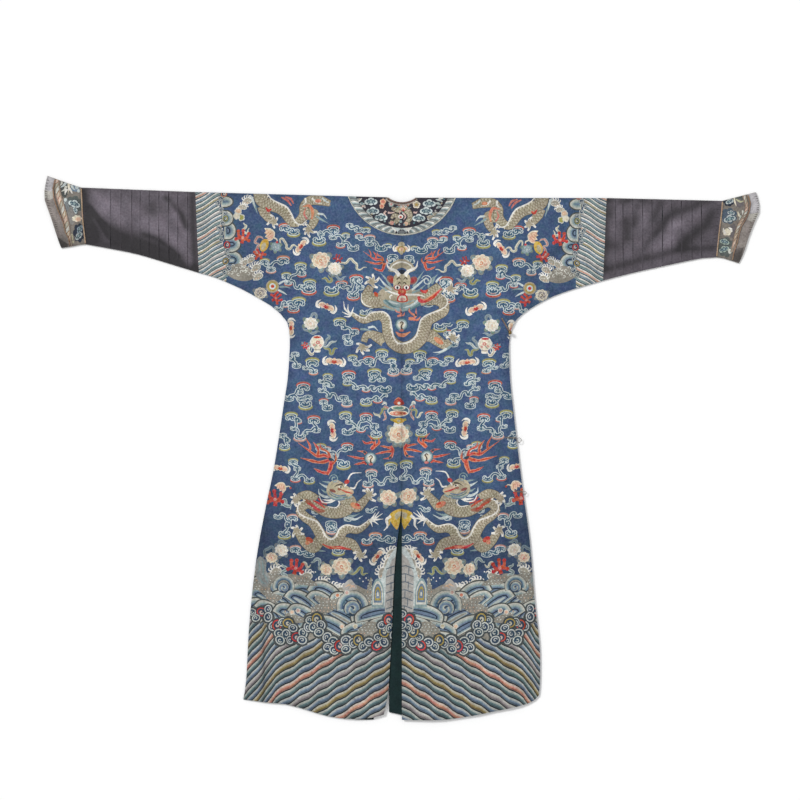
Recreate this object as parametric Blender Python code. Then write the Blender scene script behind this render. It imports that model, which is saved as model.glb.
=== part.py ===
"""A Chinese dragon robe laid out flat with its back upwards, in metres, +Z up.

Each half of the body is one length of silk that runs from the front hem over the shoulder to the back
hem, so the robe has no shoulder seams. Every piece is therefore cut flat first, on one cutting plan, and
folded over the shoulder line afterwards:

  cutting plan (u, v): u is the distance from the centre seam, wearer's right positive; v is the distance
                       from the shoulder fold, positive on the back and negative on the front;
  wall (w):            0 on the lining side of the cloth and WALL on its outer side.

The front lies on the ground with its outer side down, and the back lies on it with its outer side up.
"""

import math

import bmesh
import bpy
from mathutils import Vector
from mathutils.geometry import delaunay_2d_cdt

# ---------------------------------------------------------------- driving sizes
WALL = 0.0015            # silk, interlining and lining, taken as one cloth
LINING_WALL = 0.0010     # the green lining by itself, where the vent shows it
SEAM_GAP = 0.0003        # between neighbouring pieces
FOLD_RADIUS = 0.0003     # inside the shoulder fold
BACK_LENGTH = 1.390      # shoulder line to the lowest point of the hem
CUFF_RISE = 0.058        # left cuff tip above the shoulder line
SHOULDER_Y = (BACK_LENGTH + CUFF_RISE) / 2 - CUFF_RISE   # puts y = 0 midway between cuff tip and hem

NECK_FORWARD = 0.052     # centre of the neck hole, in front of the shoulder line
NECK_RADIUS = 0.064
COLLAR_RADIUS = 0.133    # outer edge of the dark collar
BORDER_RADIUS = 0.153    # outer edge of the rope border round it

VENT_TOP = 0.826         # the centre seam is open below this drop
INNER_EDGE = -0.0340     # the inner front reaches this far past the centre seam at the hem
LINING_REACH = 0.060     # the vent lining runs this far under the right back
LINING_TOP = 0.800

CLOSING_TOP = (0.126, 0.140)     # the overlap's edge, from the collar
CLOSING_END = (0.288, 0.368)     # to the right underarm
CLOSING_FOOT = 0.045             # drop over which the inner front climbs on to the overlap
CLOSING_CLEAR = 0.006            # how far outside the edge that climb ends

TUCK_COUNT = 10          # stitched tucks across each dark sleeve
TUCK_PITCH = 0.0254
TUCK_WIDTH = 0.0040
TUCK_HEIGHT = 0.0008

PUFF = 0.0012            # air between back and front, away from the seams
SEAM_FADE = 0.050        # folds die out over this distance from a side seam
ARC_STEP = 360 / 52      # degrees between points of the collar's rings
BACK_PITCH = 0.031       # grid of the undulating back
FRONT_PITCH = 0.075      # grid of the flat front
STATION = 0.026          # spacing of points along a curved edge
WELD = 5e-6              # points of a piece nearer than this become one
LEAST_TRIANGLE = 2e-8    # twice the area below which three points of an edge count as one line

# Edges as (x, drop): x from the centre seam, drop below the level shoulder line. The wearer's left is -X.
FOLD_LINE = (
    (-0.943, -0.0580), (-0.857, -0.0270), (-0.5495, -0.0150), (0.0, 0.0),
    (0.545, 0.0010), (0.853, 0.0085), (0.9416, -0.0146),
)
SEAMS = {
    "left": {
        "sleeve": ((-0.5495, -0.0150), (-0.5400, 0.1998)),
        "cuff": ((-0.8530, -0.0268), (-0.8510, 0.0180), (-0.8490, 0.0567), (-0.8450, 0.0947), (-0.8416, 0.1240)),
        "cord": ((-0.9210, -0.0501), (-0.9280, -0.0229), (-0.9257, 0.0003), (-0.9134, 0.0367),
                 (-0.9012, 0.0644), (-0.8950, 0.0918), (-0.8860, 0.1100), (-0.8829, 0.1306)),
        "end": ((-0.9430, -0.0580), (-0.9478, -0.0380), (-0.9510, -0.0180), (-0.9502, 0.0064),
                (-0.9440, 0.0245), (-0.9318, 0.0583), (-0.9212, 0.0918), (-0.9121, 0.1192), (-0.9060, 0.1338)),
        "sleeve_under": ((-0.5400, 0.1998), (-0.6107, 0.1782), (-0.7022, 0.1508), (-0.7757, 0.1357),
                         (-0.8416, 0.1240)),
        "cuff_under": ((-0.8416, 0.1240), (-0.8555, 0.1253), (-0.8829, 0.1306)),
        "band_under": ((-0.8829, 0.1306), (-0.9060, 0.1338)),
        "side": ((-0.5400, 0.1998), (-0.4961, 0.2125), (-0.4277, 0.2423), (-0.3817, 0.2676), (-0.3506, 0.2860),
                 (-0.3232, 0.3088), (-0.3048, 0.3317), (-0.2979, 0.3729), (-0.2993, 0.4232), (-0.3040, 0.4855),
                 (-0.3128, 0.5413), (-0.3277, 0.6421), (-0.3426, 0.7318), (-0.3578, 0.8028), (-0.3801, 0.9185),
                 (-0.3950, 1.0228), (-0.4067, 1.1475), (-0.4142, 1.2848), (-0.4219, 1.3353)),
        "back_hem": ((-0.4219, 1.3353), (-0.3532, 1.3438), (-0.3104, 1.3476), (-0.2737, 1.3566),
                     (-0.2431, 1.3659), (-0.1974, 1.3795), (-0.1516, 1.3861), (-0.1210, 1.3870),
                     (-0.0750, 1.3830), (-0.0479, 1.3750)),
        "back_vent": ((-0.0479, 1.3750), (-0.0386, 1.3308), (-0.0340, 1.2848), (-0.0263, 1.1475),
                      (-0.0234, 1.0707), (-0.0173, 0.9643), (-0.0040, 0.8500), (-0.00015, 0.8260)),
        "front_hem": ((-0.4219, 1.3353), (-0.3104, 1.3470), (-0.1974, 1.3770), (-0.1210, 1.3888),
                      (-0.0750, 1.3893)),
        "front_vent": ((-0.0750, 1.3893), (-0.0620, 1.2700), (-0.0300, 1.0400), (-0.00015, 0.8260)),
    },
    "right": {
        "sleeve": ((0.5450, 0.0010), (0.5357, 0.2205)),
        "cuff": ((0.8530, 0.0085), (0.8510, 0.0388), (0.8438, 0.0966), (0.8379, 0.1585)),
        "cord": ((0.9188, -0.0087), (0.9273, 0.0144), (0.9244, 0.0359), (0.9129, 0.0604), (0.9028, 0.0763),
                 (0.8970, 0.0966), (0.8927, 0.1181), (0.8839, 0.1442), (0.8797, 0.1686)),
        "end": ((0.9416, -0.0146), (0.9462, -0.0045), (0.9510, 0.0173), (0.9504, 0.0388), (0.9374, 0.0676),
                (0.9230, 0.1050), (0.9129, 0.1370), (0.9057, 0.1570), (0.8970, 0.1742)),
        "sleeve_under": ((0.5357, 0.2205), (0.6158, 0.1998), (0.7076, 0.1796), (0.7990, 0.1610),
                         (0.8379, 0.1585)),
        "cuff_under": ((0.8379, 0.1585), (0.8581, 0.1615), (0.8797, 0.1686)),
        "band_under": ((0.8797, 0.1686), (0.8970, 0.1742)),
        "side": ((0.5357, 0.2205), (0.4785, 0.2370), (0.4280, 0.2530), (0.3868, 0.2700), (0.3387, 0.2974),
                 (0.3046, 0.3248), (0.2907, 0.3500), (0.2852, 0.3775), (0.2852, 0.4235), (0.2886, 0.4921),
                 (0.2939, 0.5413), (0.3088, 0.6722), (0.3237, 0.7914), (0.3405, 0.9148), (0.3535, 1.0707),
                 (0.3655, 1.1781), (0.3681, 1.2390), (0.3671, 1.3002), (0.3642, 1.3247), (0.3532, 1.3367)),
        "back_hem": ((0.3532, 1.3367), (0.3352, 1.3460), (0.2891, 1.3582), (0.2434, 1.3672), (0.1976, 1.3766),
                     (0.1519, 1.3840), (0.1061, 1.3893), (0.0450, 1.3900), (0.00015, 1.3888)),
        "back_vent": ((0.00015, 1.3888), (0.00015, 0.8260)),
        "overlap_hem": ((0.3532, 1.3367), (0.2891, 1.3540), (0.1976, 1.3700), (0.1061, 1.3760), (0.00015, 1.3740)),
        "inner_hem": ((0.3532, 1.3367), (0.2891, 1.3540), (0.1976, 1.3720), (0.0600, 1.3800), (0.0, 1.3766),
                      (-0.0340, 1.3690)),
    },
}
GORE_SEAM = ((-0.3667, 0.8560), (-0.3667, 1.3425))   # selvage of the left back, where the gore joins it

# Soft folds of the back, each a ridge from one end to the other.
FOLD_COLUMNS = ("x0", "drop0", "x1", "drop1", "half_width", "height")
FOLDS = [dict(zip(FOLD_COLUMNS, row)) for row in (
    (-0.285, 0.420, -0.345, 1.330, 0.034, 0.0034),
    (-0.200, 0.620, -0.245, 1.380, 0.038, 0.0026),
    (-0.120, 0.760, -0.135, 1.390, 0.034, 0.0030),
    (0.075, 0.800, 0.085, 1.395, 0.036, 0.0026),
    (0.165, 0.640, 0.205, 1.385, 0.036, 0.0030),
    (0.235, 0.430, 0.300, 1.360, 0.034, 0.0034),
    (-0.330, 0.270, -0.120, 0.470, 0.036, 0.0030),
    (0.330, 0.280, 0.130, 0.450, 0.036, 0.0030),
    (-0.420, 0.090, -0.250, 0.190, 0.032, 0.0024),
    (0.420, 0.110, 0.260, 0.200, 0.032, 0.0024),
    (-0.230, 0.500, 0.000, 0.540, 0.036, 0.0018),
    (0.020, 0.590, 0.230, 0.560, 0.036, 0.0018),
    (-0.600, 0.010, -0.690, 0.130, 0.026, 0.0034),
    (-0.690, -0.005, -0.770, 0.110, 0.024, 0.0028),
    (-0.775, -0.010, -0.830, 0.095, 0.022, 0.0024),
    (0.600, 0.150, 0.700, 0.030, 0.026, 0.0034),
    (0.690, 0.155, 0.775, 0.045, 0.024, 0.0030),
    (0.770, 0.145, 0.835, 0.060, 0.022, 0.0024),
    (-0.905, -0.025, -0.880, 0.080, 0.020, 0.0022),
    (0.905, 0.015, 0.880, 0.110, 0.020, 0.0022),
)]

# Fastenings sewn to the right back: the button's strap at the underarm and two loops down the side.
STRAP_START, STRAP_END = (0.2655, 0.3205), (0.2845, 0.3530)
STRAP_WIDTH = 0.0045
STRAP_THICKNESS = 0.0018
BUTTON_RADIUS = 0.0048
BUTTON_CENTRE = (0.2878, 0.3592)
LOOP_COLUMNS = ("name", "start_x", "drop", "eye_x", "eye_drop", "eye_radius")
LOOPS = [dict(zip(LOOP_COLUMNS, row)) for row in (
    ("loop_upper", 0.2750, 0.6385, 0.3118, 0.6455, 0.0060),
    ("loop_lower", 0.3008, 0.7815, 0.3262, 0.7858, 0.0046),
)]
LOOP_CORD_RADIUS = 0.0009
PIPING_WIDTH = 0.0034
BINDING_WIDTH = 0.0036
BORDER_RELIEF = 0.0004   # couched rope of the collar's border

COLOURS = {
    "blue_silk": ((0.055, 0.115, 0.275), 0.62),
    "dark_silk": ((0.080, 0.070, 0.088), 0.58),
    "collar_silk": ((0.035, 0.033, 0.055), 0.62),
    "rope_silk": ((0.430, 0.460, 0.430), 0.60),
    "cuff_silk": ((0.230, 0.240, 0.225), 0.62),
    "band_silk": ((0.170, 0.150, 0.145), 0.70),
    "gold_cord": ((0.560, 0.400, 0.250), 0.45),
    "green_lining": ((0.012, 0.040, 0.042), 0.50),
    "brown_binding": ((0.130, 0.095, 0.080), 0.65),
    "brass": ((0.450, 0.330, 0.150), 0.35),
}


# ---------------------------------------------------------------- helpers on the plan
def smooth_step(t):
    t = min(max(t, 0.0), 1.0)
    return t * t * (3 - 2 * t)


def along(table, x):
    """The drop of a line given as (x, drop) rows with rising x."""
    for (x0, d0), (x1, d1) in zip(table, table[1:]):
        if x <= x1:
            break
    return d0 + (d1 - d0) * (x - x0) / (x1 - x0)


def curve_through(rows, spacing=STATION):
    """Points about spacing apart on a smooth curve through the rows. Two rows give a straight line."""
    points = [Vector(row) for row in rows]
    ends = [2 * points[0] - points[1], *points, 2 * points[-1] - points[-2]]
    made = []
    for a, b, c, d in zip(ends, ends[1:], ends[2:], ends[3:]):
        steps = max(1, round((c - b).length / spacing))
        for i in range(steps):
            t = i / steps
            made.append(0.5 * (2 * b + (c - a) * t + (2 * a - 5 * b + 4 * c - d) * t ** 2
                               + (3 * b - a - 3 * c + d) * t ** 3))
    return [*made, points[-1]]


def on_plan(points, layer):
    """(x, drop) points as (u, v) of the cutting plan. layer is 1 for the back and -1 for the front."""
    return [Vector((p[0], layer * max(p[1] - along(FOLD_LINE, p[0]), 0.0))) for p in points]


def arc(radius, start, end, steps):
    """Points of a circle round the neck hole's centre, on the plan. Angles are in degrees from +u."""
    made = []
    for i in range(steps + 1):
        angle = math.radians(start + (end - start) * i / steps)
        made.append(Vector((radius * math.cos(angle), radius * math.sin(angle) - NECK_FORWARD)))
    return made


def strip_edges(line, width):
    """Both edges of a narrow band along a line of the plan."""
    left, right = [], []
    for i, point in enumerate(line):
        run = (line[min(i + 1, len(line) - 1)] - line[max(i - 1, 0)]).normalized()
        side = Vector((-run.y, run.x)) * width / 2
        left.append(point + side)
        right.append(point - side)
    return left, right


def distance_to(point, line):
    nearest = 9.0
    for a, b in zip(line, line[1:]):
        run = b - a
        t = min(max((point - a).dot(run) / max(run.length_squared, 1e-12), 0.0), 1.0)
        nearest = min(nearest, (point - a - run * t).length)
    return nearest


def inside(point, loop):
    crossings = 0
    for a, b in zip(loop, [*loop[1:], loop[0]]):
        if (a.y > point.y) != (b.y > point.y):
            if point.x < a.x + (b.x - a.x) * (point.y - a.y) / (b.y - a.y):
                crossings += 1
    return crossings % 2 == 1


# ---------------------------------------------------------------- how the layers lie
SIDE_LINES = {
    side: curve_through(s["side"]) + curve_through(s["sleeve_under"]) + curve_through(s["cuff_under"])
    + curve_through(s["band_under"])
    for side, s in SEAMS.items()
}
LAYER = WALL + SEAM_GAP
SHOULDER_LEVEL = WALL + 2 * FOLD_RADIUS                    # lining side of the back, at the fold
VENT_LEVEL = 2 * LAYER + LINING_WALL + SEAM_GAP            # the same, over the inner front and lining
FOLD_HALF = math.pi / 2 * (FOLD_RADIUS + WALL / 2)         # half the length of the shoulder's bend


def closing_drop(x):
    """Drop of the overlap's edge, which runs from the collar to the underarm."""
    (x0, d0), (x1, d1) = CLOSING_TOP, CLOSING_END
    return d0 + (d1 - d0) * (x - x0) / (x1 - x0)


def inner_lift(x, drop, early=0.0):
    """How much of a layer the inner front is raised by the overlap under it, from 0 to 1."""
    full = closing_drop(x) - CLOSING_CLEAR
    foot = full - CLOSING_FOOT - early
    return min(max((drop - foot) / (full - foot - early * 0.5), 0.0), 1.0)


def fold_height(x, drop):
    """Sum of the soft folds at a point of the back."""
    total = 0.0
    for f in FOLDS:
        start = Vector((f["x0"], f["drop0"]))
        run = Vector((f["x1"], f["drop1"])) - start
        offset = Vector((x, drop)) - start
        t = offset.dot(run) / run.length_squared
        if not -0.12 < t < 1.12:
            continue
        taper = smooth_step((t + 0.12) / 0.35) * smooth_step((1.12 - t) / 0.25)
        across = (offset - run * t).length / f["half_width"]
        total += f["height"] * taper * math.exp(-across * across)
    return total


def back_level(x, drop, v):
    """Lining side of the back above the ground."""
    point = Vector((x, drop))
    over_inner = inner_lift(x, drop, early=0.060)
    if x < 0:
        over_inner *= smooth_step((x + 0.150) / 0.075)
    near_vent = 1 - smooth_step((x - 0.090) / 0.120)
    raised = LAYER + (VENT_LEVEL - 2 * LAYER) * near_vent
    level = LAYER + raised * over_inner
    fade = smooth_step(distance_to(point, SIDE_LINES["left" if x < 0 else "right"]) / SEAM_FADE)
    fade *= smooth_step(v / 0.060)
    level += (PUFF + fold_height(x, drop)) * fade
    return SHOULDER_LEVEL + (level - SHOULDER_LEVEL) * smooth_step((v - FOLD_HALF) / 0.045)


def lay(u, v, w):
    """Folds a point of the cutting plan over the shoulder and lays it on the ground."""
    y_fold = SHOULDER_Y - along(FOLD_LINE, u)
    reach = FOLD_RADIUS + WALL
    if abs(v) <= FOLD_HALF:
        turn = v / FOLD_HALF * math.pi / 2
        out = FOLD_RADIUS + w
        return Vector((u, y_fold - reach + out * math.cos(turn), reach + out * math.sin(turn)))
    y = y_fold - reach - (abs(v) - FOLD_HALF)
    drop = SHOULDER_Y - y
    if v > 0:
        return Vector((u, y, back_level(u, drop, v) + w))
    return Vector((u, y, WALL - w))


def lay_right(u, v, w):
    """As lay, but the right half's front climbs on to the overlap, which lies under it."""
    place = lay(u, v, w)
    if v < -FOLD_HALF:
        place.z += LAYER * inner_lift(u, SHOULDER_Y - place.y)
    return place


def lay_lining(u, v, w):
    """The vent lining lies on the inner front."""
    return Vector((u, SHOULDER_Y - v, 2 * LAYER + w))


# ---------------------------------------------------------------- cutting and laying a piece
def grid_points(loop, holes, keep_off):
    """Grid points of the plan inside the loop and clear of its edges, close on the back, wide on the front."""
    edges = [[*ring, ring[0]] for ring in (loop, *holes)]
    made = []
    for pitch, sign in ((BACK_PITCH, 1), (FRONT_PITCH, -1)):
        for i in range(int(-1.0 / pitch), int(1.0 / pitch) + 1):
            for j in range(1, int(1.45 / pitch)):
                point = Vector(((i + 0.5) * pitch, sign * (j - 0.3) * pitch))
                clear = inside(point, loop) and not any(inside(point, hole) for hole in holes)
                if clear and all(distance_to(point, e) > keep_off * pitch for e in edges):
                    made.append(point)
    return made


def shoulder_rows(loop):
    """Rows of points along the shoulder fold, each with its edges, over the width of the loop."""
    low, high = min(p.x for p in loop) - 0.01, max(p.x for p in loop) + 0.01
    count = max(2, round((high - low) / 0.060))
    return [[Vector((low + (high - low) * i / count, FOLD_HALF * k / 2)) for i in range(count + 1)]
            for k in range(-2, 3)]


def cut(name, colour, loop, holes=(), guides=(), place=lay, wall=WALL, start=0.0, relief=None,
        folds_over=True, filled=True):
    """A flat piece of the plan, given its wall and then laid by place. guides are lines that the mesh follows."""
    rings = [loop, *holes]
    lines = [*guides, *(shoulder_rows(loop) if folds_over else [])]
    points, edges = [], []
    for ring in rings:
        edges += [(len(points) + i, len(points) + (i + 1) % len(ring)) for i in range(len(ring))]
        points += ring
    for line in lines:
        edges += [(len(points) + i, len(points) + i + 1) for i in range(len(line) - 1)]
        points += line
    if filled:
        near = [p for line in guides for p in line]
        points += [p for p in grid_points(loop, holes, 0.45)
                   if all((p - q).length > 0.35 * BACK_PITCH for q in near)]
    flat, _, faces, *_ = delaunay_2d_cdt(points, edges, [], 0, WELD)
    mesh = bmesh.new()
    corners = [mesh.verts.new((p.x, p.y, start)) for p in flat]
    for face in faces:
        a, b, c = (flat[i] for i in face)
        if abs((b - a).cross(c - a)) < LEAST_TRIANGLE:
            continue
        centre = (a + b + c) / 3
        if inside(centre, loop) and not any(inside(centre, hole) for hole in holes):
            mesh.faces.new([corners[i] for i in face])
    bmesh.ops.delete(mesh, geom=[v for v in mesh.verts if not v.link_faces], context="VERTS")
    lower = list(mesh.faces)
    raised = bmesh.ops.extrude_face_region(mesh, geom=lower, use_keep_orig=True)["geom"]
    for vert in raised:
        if isinstance(vert, bmesh.types.BMVert):
            vert.co.z = start + wall + (relief(vert.co.x, vert.co.y) if relief else 0.0)
    for vert in mesh.verts:
        vert.co = place(*vert.co)
    bmesh.ops.triangulate(mesh, faces=mesh.faces)
    bmesh.ops.recalc_face_normals(mesh, faces=mesh.faces)
    return add_object(name, colour, mesh)


def material(colour):
    made = bpy.data.materials.get(colour) or bpy.data.materials.new(colour)
    made.use_nodes = True
    shader = made.node_tree.nodes["Principled BSDF"]
    base, roughness = COLOURS[colour]
    shader.inputs["Base Color"].default_value = (*base, 1)
    shader.inputs["Roughness"].default_value = roughness
    shader.inputs["Metallic"].default_value = 1.0 if colour == "brass" else 0.0
    return made


def add_object(name, colour, mesh):
    data = bpy.data.meshes.new(name)
    mesh.to_mesh(data)
    mesh.free()
    data.materials.append(material(colour))
    data.shade_smooth()
    data.set_sharp_from_angle(angle=math.radians(40))
    made = bpy.data.objects.new(name, data)
    ROBE.objects.link(made)
    return made


# ---------------------------------------------------------------- the cloth pieces
def sleeve_seam(seams):
    """Where a sleeve joins the body, from the front over the shoulder fold to the back."""
    seam = curve_through(seams["sleeve"])
    return on_plan(seam[1:-1], -1)[::-1] + on_plan(seam[:-1], 1)


def body_left():
    """Left back and left front in one, with the gore's place left free on the back."""
    s = SEAMS["left"]
    selvage = [p + Vector((SEAM_GAP, 0)) for p in curve_through(GORE_SEAM)]
    side = curve_through(s["side"])
    back = [p for p in side if p.y < GORE_SEAM[0][1] - 0.015]
    back += [selvage[0] - Vector((0, 0.008)), *selvage]
    back += [p for p in curve_through(s["back_hem"]) if p.x > GORE_SEAM[1][0] + 0.008]
    back += curve_through(s["back_vent"])[1:]
    front = side + curve_through(s["front_hem"])[1:] + curve_through(s["front_vent"])[1:]
    hole = arc(BORDER_RADIUS + SEAM_GAP, 90, 270, 26)
    hole[0].x = hole[-1].x = -SEAM_GAP / 2
    loop = on_plan(back, 1) + hole + on_plan(front, -1)[::-1] + sleeve_seam(s)
    cut("body_left", "blue_silk", loop)


def gore_left():
    """The side gore set into the left back below the waist."""
    s = SEAMS["left"]
    side = [p for p in curve_through(s["side"]) if p.y > GORE_SEAM[0][1] + 0.004]
    hem = [p for p in curve_through(s["back_hem"])[1:] if p.x < GORE_SEAM[1][0] - 0.008]
    cut("side_gore_left", "blue_silk", on_plan(side + hem + curve_through(GORE_SEAM)[::-1], 1),
        folds_over=False)


def closing_guides():
    """The lines on the inner front where its climb on to the overlap ends and begins."""
    lines = []
    for above in (CLOSING_CLEAR, CLOSING_CLEAR + CLOSING_FOOT):
        rows = [(x / 100, closing_drop(x / 100) - above) for x in range(9, 35, 3)]
        lines.append(on_plan(rows, -1))
    return lines


def body_right():
    """Right back and inner right front in one."""
    s = SEAMS["right"]
    side = curve_through(s["side"])
    back = side + curve_through(s["back_hem"])[1:] + curve_through(s["back_vent"])[1:]
    front = side + curve_through(s["inner_hem"])[1:]
    hole = arc(BORDER_RADIUS + SEAM_GAP, 90, -90 - 2 * ARC_STEP, 28)
    hole[0].x = SEAM_GAP / 2
    loop = on_plan(back, 1) + hole + on_plan(front, -1)[::-1] + sleeve_seam(s)
    cut("body_right", "blue_silk", loop, guides=closing_guides() + fastening_guides(), place=lay_right)


def overlap():
    """Outer right front, which closes over the inner one at the right side."""
    s = SEAMS["right"]
    side = [p for p in curve_through(s["side"]) if p.y > CLOSING_END[1] + 0.012]
    start = math.degrees(math.atan2(-(CLOSING_TOP[1] - NECK_FORWARD), CLOSING_TOP[0]))
    collar = [p for p in arc(BORDER_RADIUS + SEAM_GAP, -90, 0, 13)
              if p.x < CLOSING_TOP[0] - 0.004]
    collar[0].x = SEAM_GAP / 2
    collar += arc(BORDER_RADIUS + SEAM_GAP, start, start, 1)[:1]
    closing = on_plan(curve_through((CLOSING_TOP, CLOSING_END)), -1)
    closing = [p for p in closing if (p - collar[-1]).length > 0.010]
    lower = on_plan([*side, *curve_through(s["overlap_hem"])[1:], (0.00015, VENT_TOP)], -1)
    cut("front_overlap", "blue_silk", collar + closing + lower, folds_over=False)


def collar():
    """Dark collar round the neck hole, its rope border and the neck's binding."""
    circle = arc(COLLAR_RADIUS, -90, 270, 52)[:-1]
    neck = arc(NECK_RADIUS, -90, 270, 52)[:-1]
    middle = arc((COLLAR_RADIUS + NECK_RADIUS) / 2, -90 + ARC_STEP / 2, 270 + ARC_STEP / 2, 26)
    cut("collar", "collar_silk", circle, holes=[neck], filled=False,
        guides=[middle, *strip_edges(binding_line(), BINDING_WIDTH)])
    outer = arc(BORDER_RADIUS, -90, 270, 52)[:-1]
    inner = arc(COLLAR_RADIUS + SEAM_GAP, -90, 270, 52)[:-1]
    cut("collar_border", "rope_silk", outer, holes=[inner], filled=False,
        relief=lambda u, v: BORDER_RELIEF if v > FOLD_HALF else 0.0)
    strip("neck_binding", "brown_binding", binding_line(), BINDING_WIDTH, 0.0010)


def binding_line():
    """Middle of the neck's binding, on the back from one end of the fold to the other."""
    radius = NECK_RADIUS + 0.0004 + BINDING_WIDTH / 2
    reach = math.degrees(math.asin((NECK_FORWARD + FOLD_HALF + 0.001) / radius))
    return arc(radius, reach, 180 - reach, 12)


def sleeves():
    """Dark tucked sleeve, embroidered cuff and plain cuff band of each arm, each folded over its top."""
    for side, s in SEAMS.items():
        out = -1 if side == "left" else 1
        gap = Vector((out * SEAM_GAP, 0))
        inward, outward = (1, 0) if out < 0 else (0, 1)
        piping = strip_edges(trim_line(s["cuff"]), PIPING_WIDTH)
        cord = strip_edges(trim_line(s["cord"]), PIPING_WIDTH)
        for name, colour, inner, outer, under, guides in (
            ("sleeve", "dark_silk", "sleeve", "cuff", "sleeve_under", [*tuck_lines(side), piping[inward]]),
            ("cuff", "cuff_silk", "cuff", "cord", "cuff_under", [piping[outward], cord[inward]]),
            ("cuff_band", "band_silk", "cord", "end", "band_under", [cord[outward]]),
        ):
            start = [p + gap for p in curve_through(s[inner])]
            bottom = curve_through(s[under])
            end = curve_through(s[outer])
            half = start[:-1] + [bottom[0] + gap] + bottom[1:-1] + end[::-1]
            back = on_plan(half, 1)
            loop = back[1:-1] + [back[-1]] + on_plan(half, -1)[::-1][1:-1] + [back[0]]
            cut(f"{name}_{side}", colour, loop, guides=guides,
                relief=tuck_relief(side) if name == "sleeve" else None)


def tuck_centres(side):
    """x of each stitched tuck, counted back from the cuff."""
    out = -1 if side == "left" else 1
    return [out * (0.822 - TUCK_PITCH * i) for i in range(TUCK_COUNT)]


def tuck_lines(side):
    """Foot, crest and foot of each tuck, down the back of the sleeve."""
    lines = []
    for x in tuck_centres(side):
        for across in (-0.5, 0.0, 0.5):
            u = x + across * TUCK_WIDTH
            lines.append([Vector((u, 0.006 + 0.0365 * i)) for i in range(7)])
    return lines


def tuck_relief(side):
    centres = tuck_centres(side)

    def relief(u, v):
        nearest = min(abs(u - x) for x in centres)
        return TUCK_HEIGHT if v > 0.005 and nearest < TUCK_WIDTH * 0.25 else 0.0
    return relief


def strip(name, colour, line, width, thickness):
    """A narrow band on the outer side of the back, along a line of the plan, a seam's gap above the cloth.

    The cloth under it has the band's edges among its own points.
    """
    left, right = strip_edges(line, width)
    cut(name, colour, left + right[::-1], start=WALL + SEAM_GAP, wall=thickness,
        folds_over=False, filled=False)


def trim_line(seam):
    """The back of a cuff's seam, from just below the fold to just above the underarm edge."""
    line = [p for p in on_plan(curve_through(seam, 0.016), 1) if p.y > 0.010]
    start = line[0] + (line[0] - line[1]).normalized() * (line[0].y - FOLD_HALF - 0.0015)
    end = line[-1] + (line[-2] - line[-1]).normalized() * 0.0025
    return [start, *line[:-1], end]


def trims():
    """Gold piping at each cuff seam, and the cord between cuff and band."""
    for side, s in SEAMS.items():
        for name, seam in (("cuff_piping", "cuff"), ("cuff_cord", "cord")):
            strip(f"{name}_{side}", "gold_cord", trim_line(s[seam]), PIPING_WIDTH, 0.0012)


def vent_lining():
    """Green lining of the inner front, as far as the vent shows it."""
    hem = [p for p in curve_through(SEAMS["right"]["inner_hem"]) if p.x < LINING_REACH - 0.004]
    edge = [Vector((INNER_EDGE, LINING_TOP + (1.369 - LINING_TOP) * i / 6)) for i in range(6)]
    far = [Vector((LINING_REACH, 1.380 + (LINING_TOP - 1.380) * i / 6)) for i in range(7)]
    cut("vent_lining", "green_lining", edge + hem[::-1] + far, place=lay_lining, wall=LINING_WALL,
        folds_over=False, filled=False)


# ---------------------------------------------------------------- fastenings on the right side
def on_back(x, drop, above):
    """The point this far above the outer side of the back."""
    top = back_level(x, drop, drop - along(FOLD_LINE, x)) + WALL
    return Vector((x, SHOULDER_Y - drop, top + above))


def strap_line():
    start, end = Vector(STRAP_START), Vector(STRAP_END)
    return on_plan([start + (end - start) * i / 4 for i in range(5)], 1)


def loop_runs(loop):
    """The two lengths of a loop's cord that lie on the cloth, as (x, drop), both from the inner end."""
    apart = Vector((0, LOOP_CORD_RADIUS + SEAM_GAP / 2))
    start = Vector((loop["start_x"], loop["drop"]))
    end = Vector((loop["eye_x"] - loop["eye_radius"] * 1.15, loop["drop"] + loop["eye_radius"] * 0.15))
    middle = [start + (end - start) * i / 5 for i in range(6)]
    return [p - apart for p in middle], [p + apart for p in middle]


def fastening_guides():
    """Lines of the right back under the strap and under the loops."""
    lines = [*strip_edges(strap_line(), STRAP_WIDTH)]
    for loop in LOOPS:
        for run in loop_runs(loop):
            lines.append(on_plan([p for p in run if p.x < loop["eye_x"] - 0.011], 1))
    return lines


def tube(name, colour, points, radius):
    """A round cord along the points, as a mesh with closed ends."""
    data = bpy.data.curves.new(name, "CURVE")
    data.dimensions = "3D"
    data.bevel_depth = radius
    data.bevel_resolution = 2
    data.use_fill_caps = True
    spline = data.splines.new("POLY")
    spline.points.add(len(points) - 1)
    for corner, point in zip(spline.points, points):
        corner.co = (*point, 1)
    data.materials.append(material(colour))
    ROBE.objects.link(bpy.data.objects.new(name, data))


def fastenings():
    """Button and strap at the underarm, and two button loops whose eyes stand out past the side."""
    strip("button_strap", "brown_binding", strap_line(), STRAP_WIDTH, STRAP_THICKNESS)
    mesh = bmesh.new()
    bmesh.ops.create_uvsphere(mesh, u_segments=18, v_segments=12, radius=BUTTON_RADIUS)
    bmesh.ops.translate(mesh, verts=mesh.verts, vec=on_back(*BUTTON_CENTRE, SEAM_GAP + BUTTON_RADIUS))
    add_object("button", "brass", mesh)
    for loop in LOOPS:
        tube(loop["name"], "brown_binding", loop_path(loop), LOOP_CORD_RADIUS)


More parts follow.
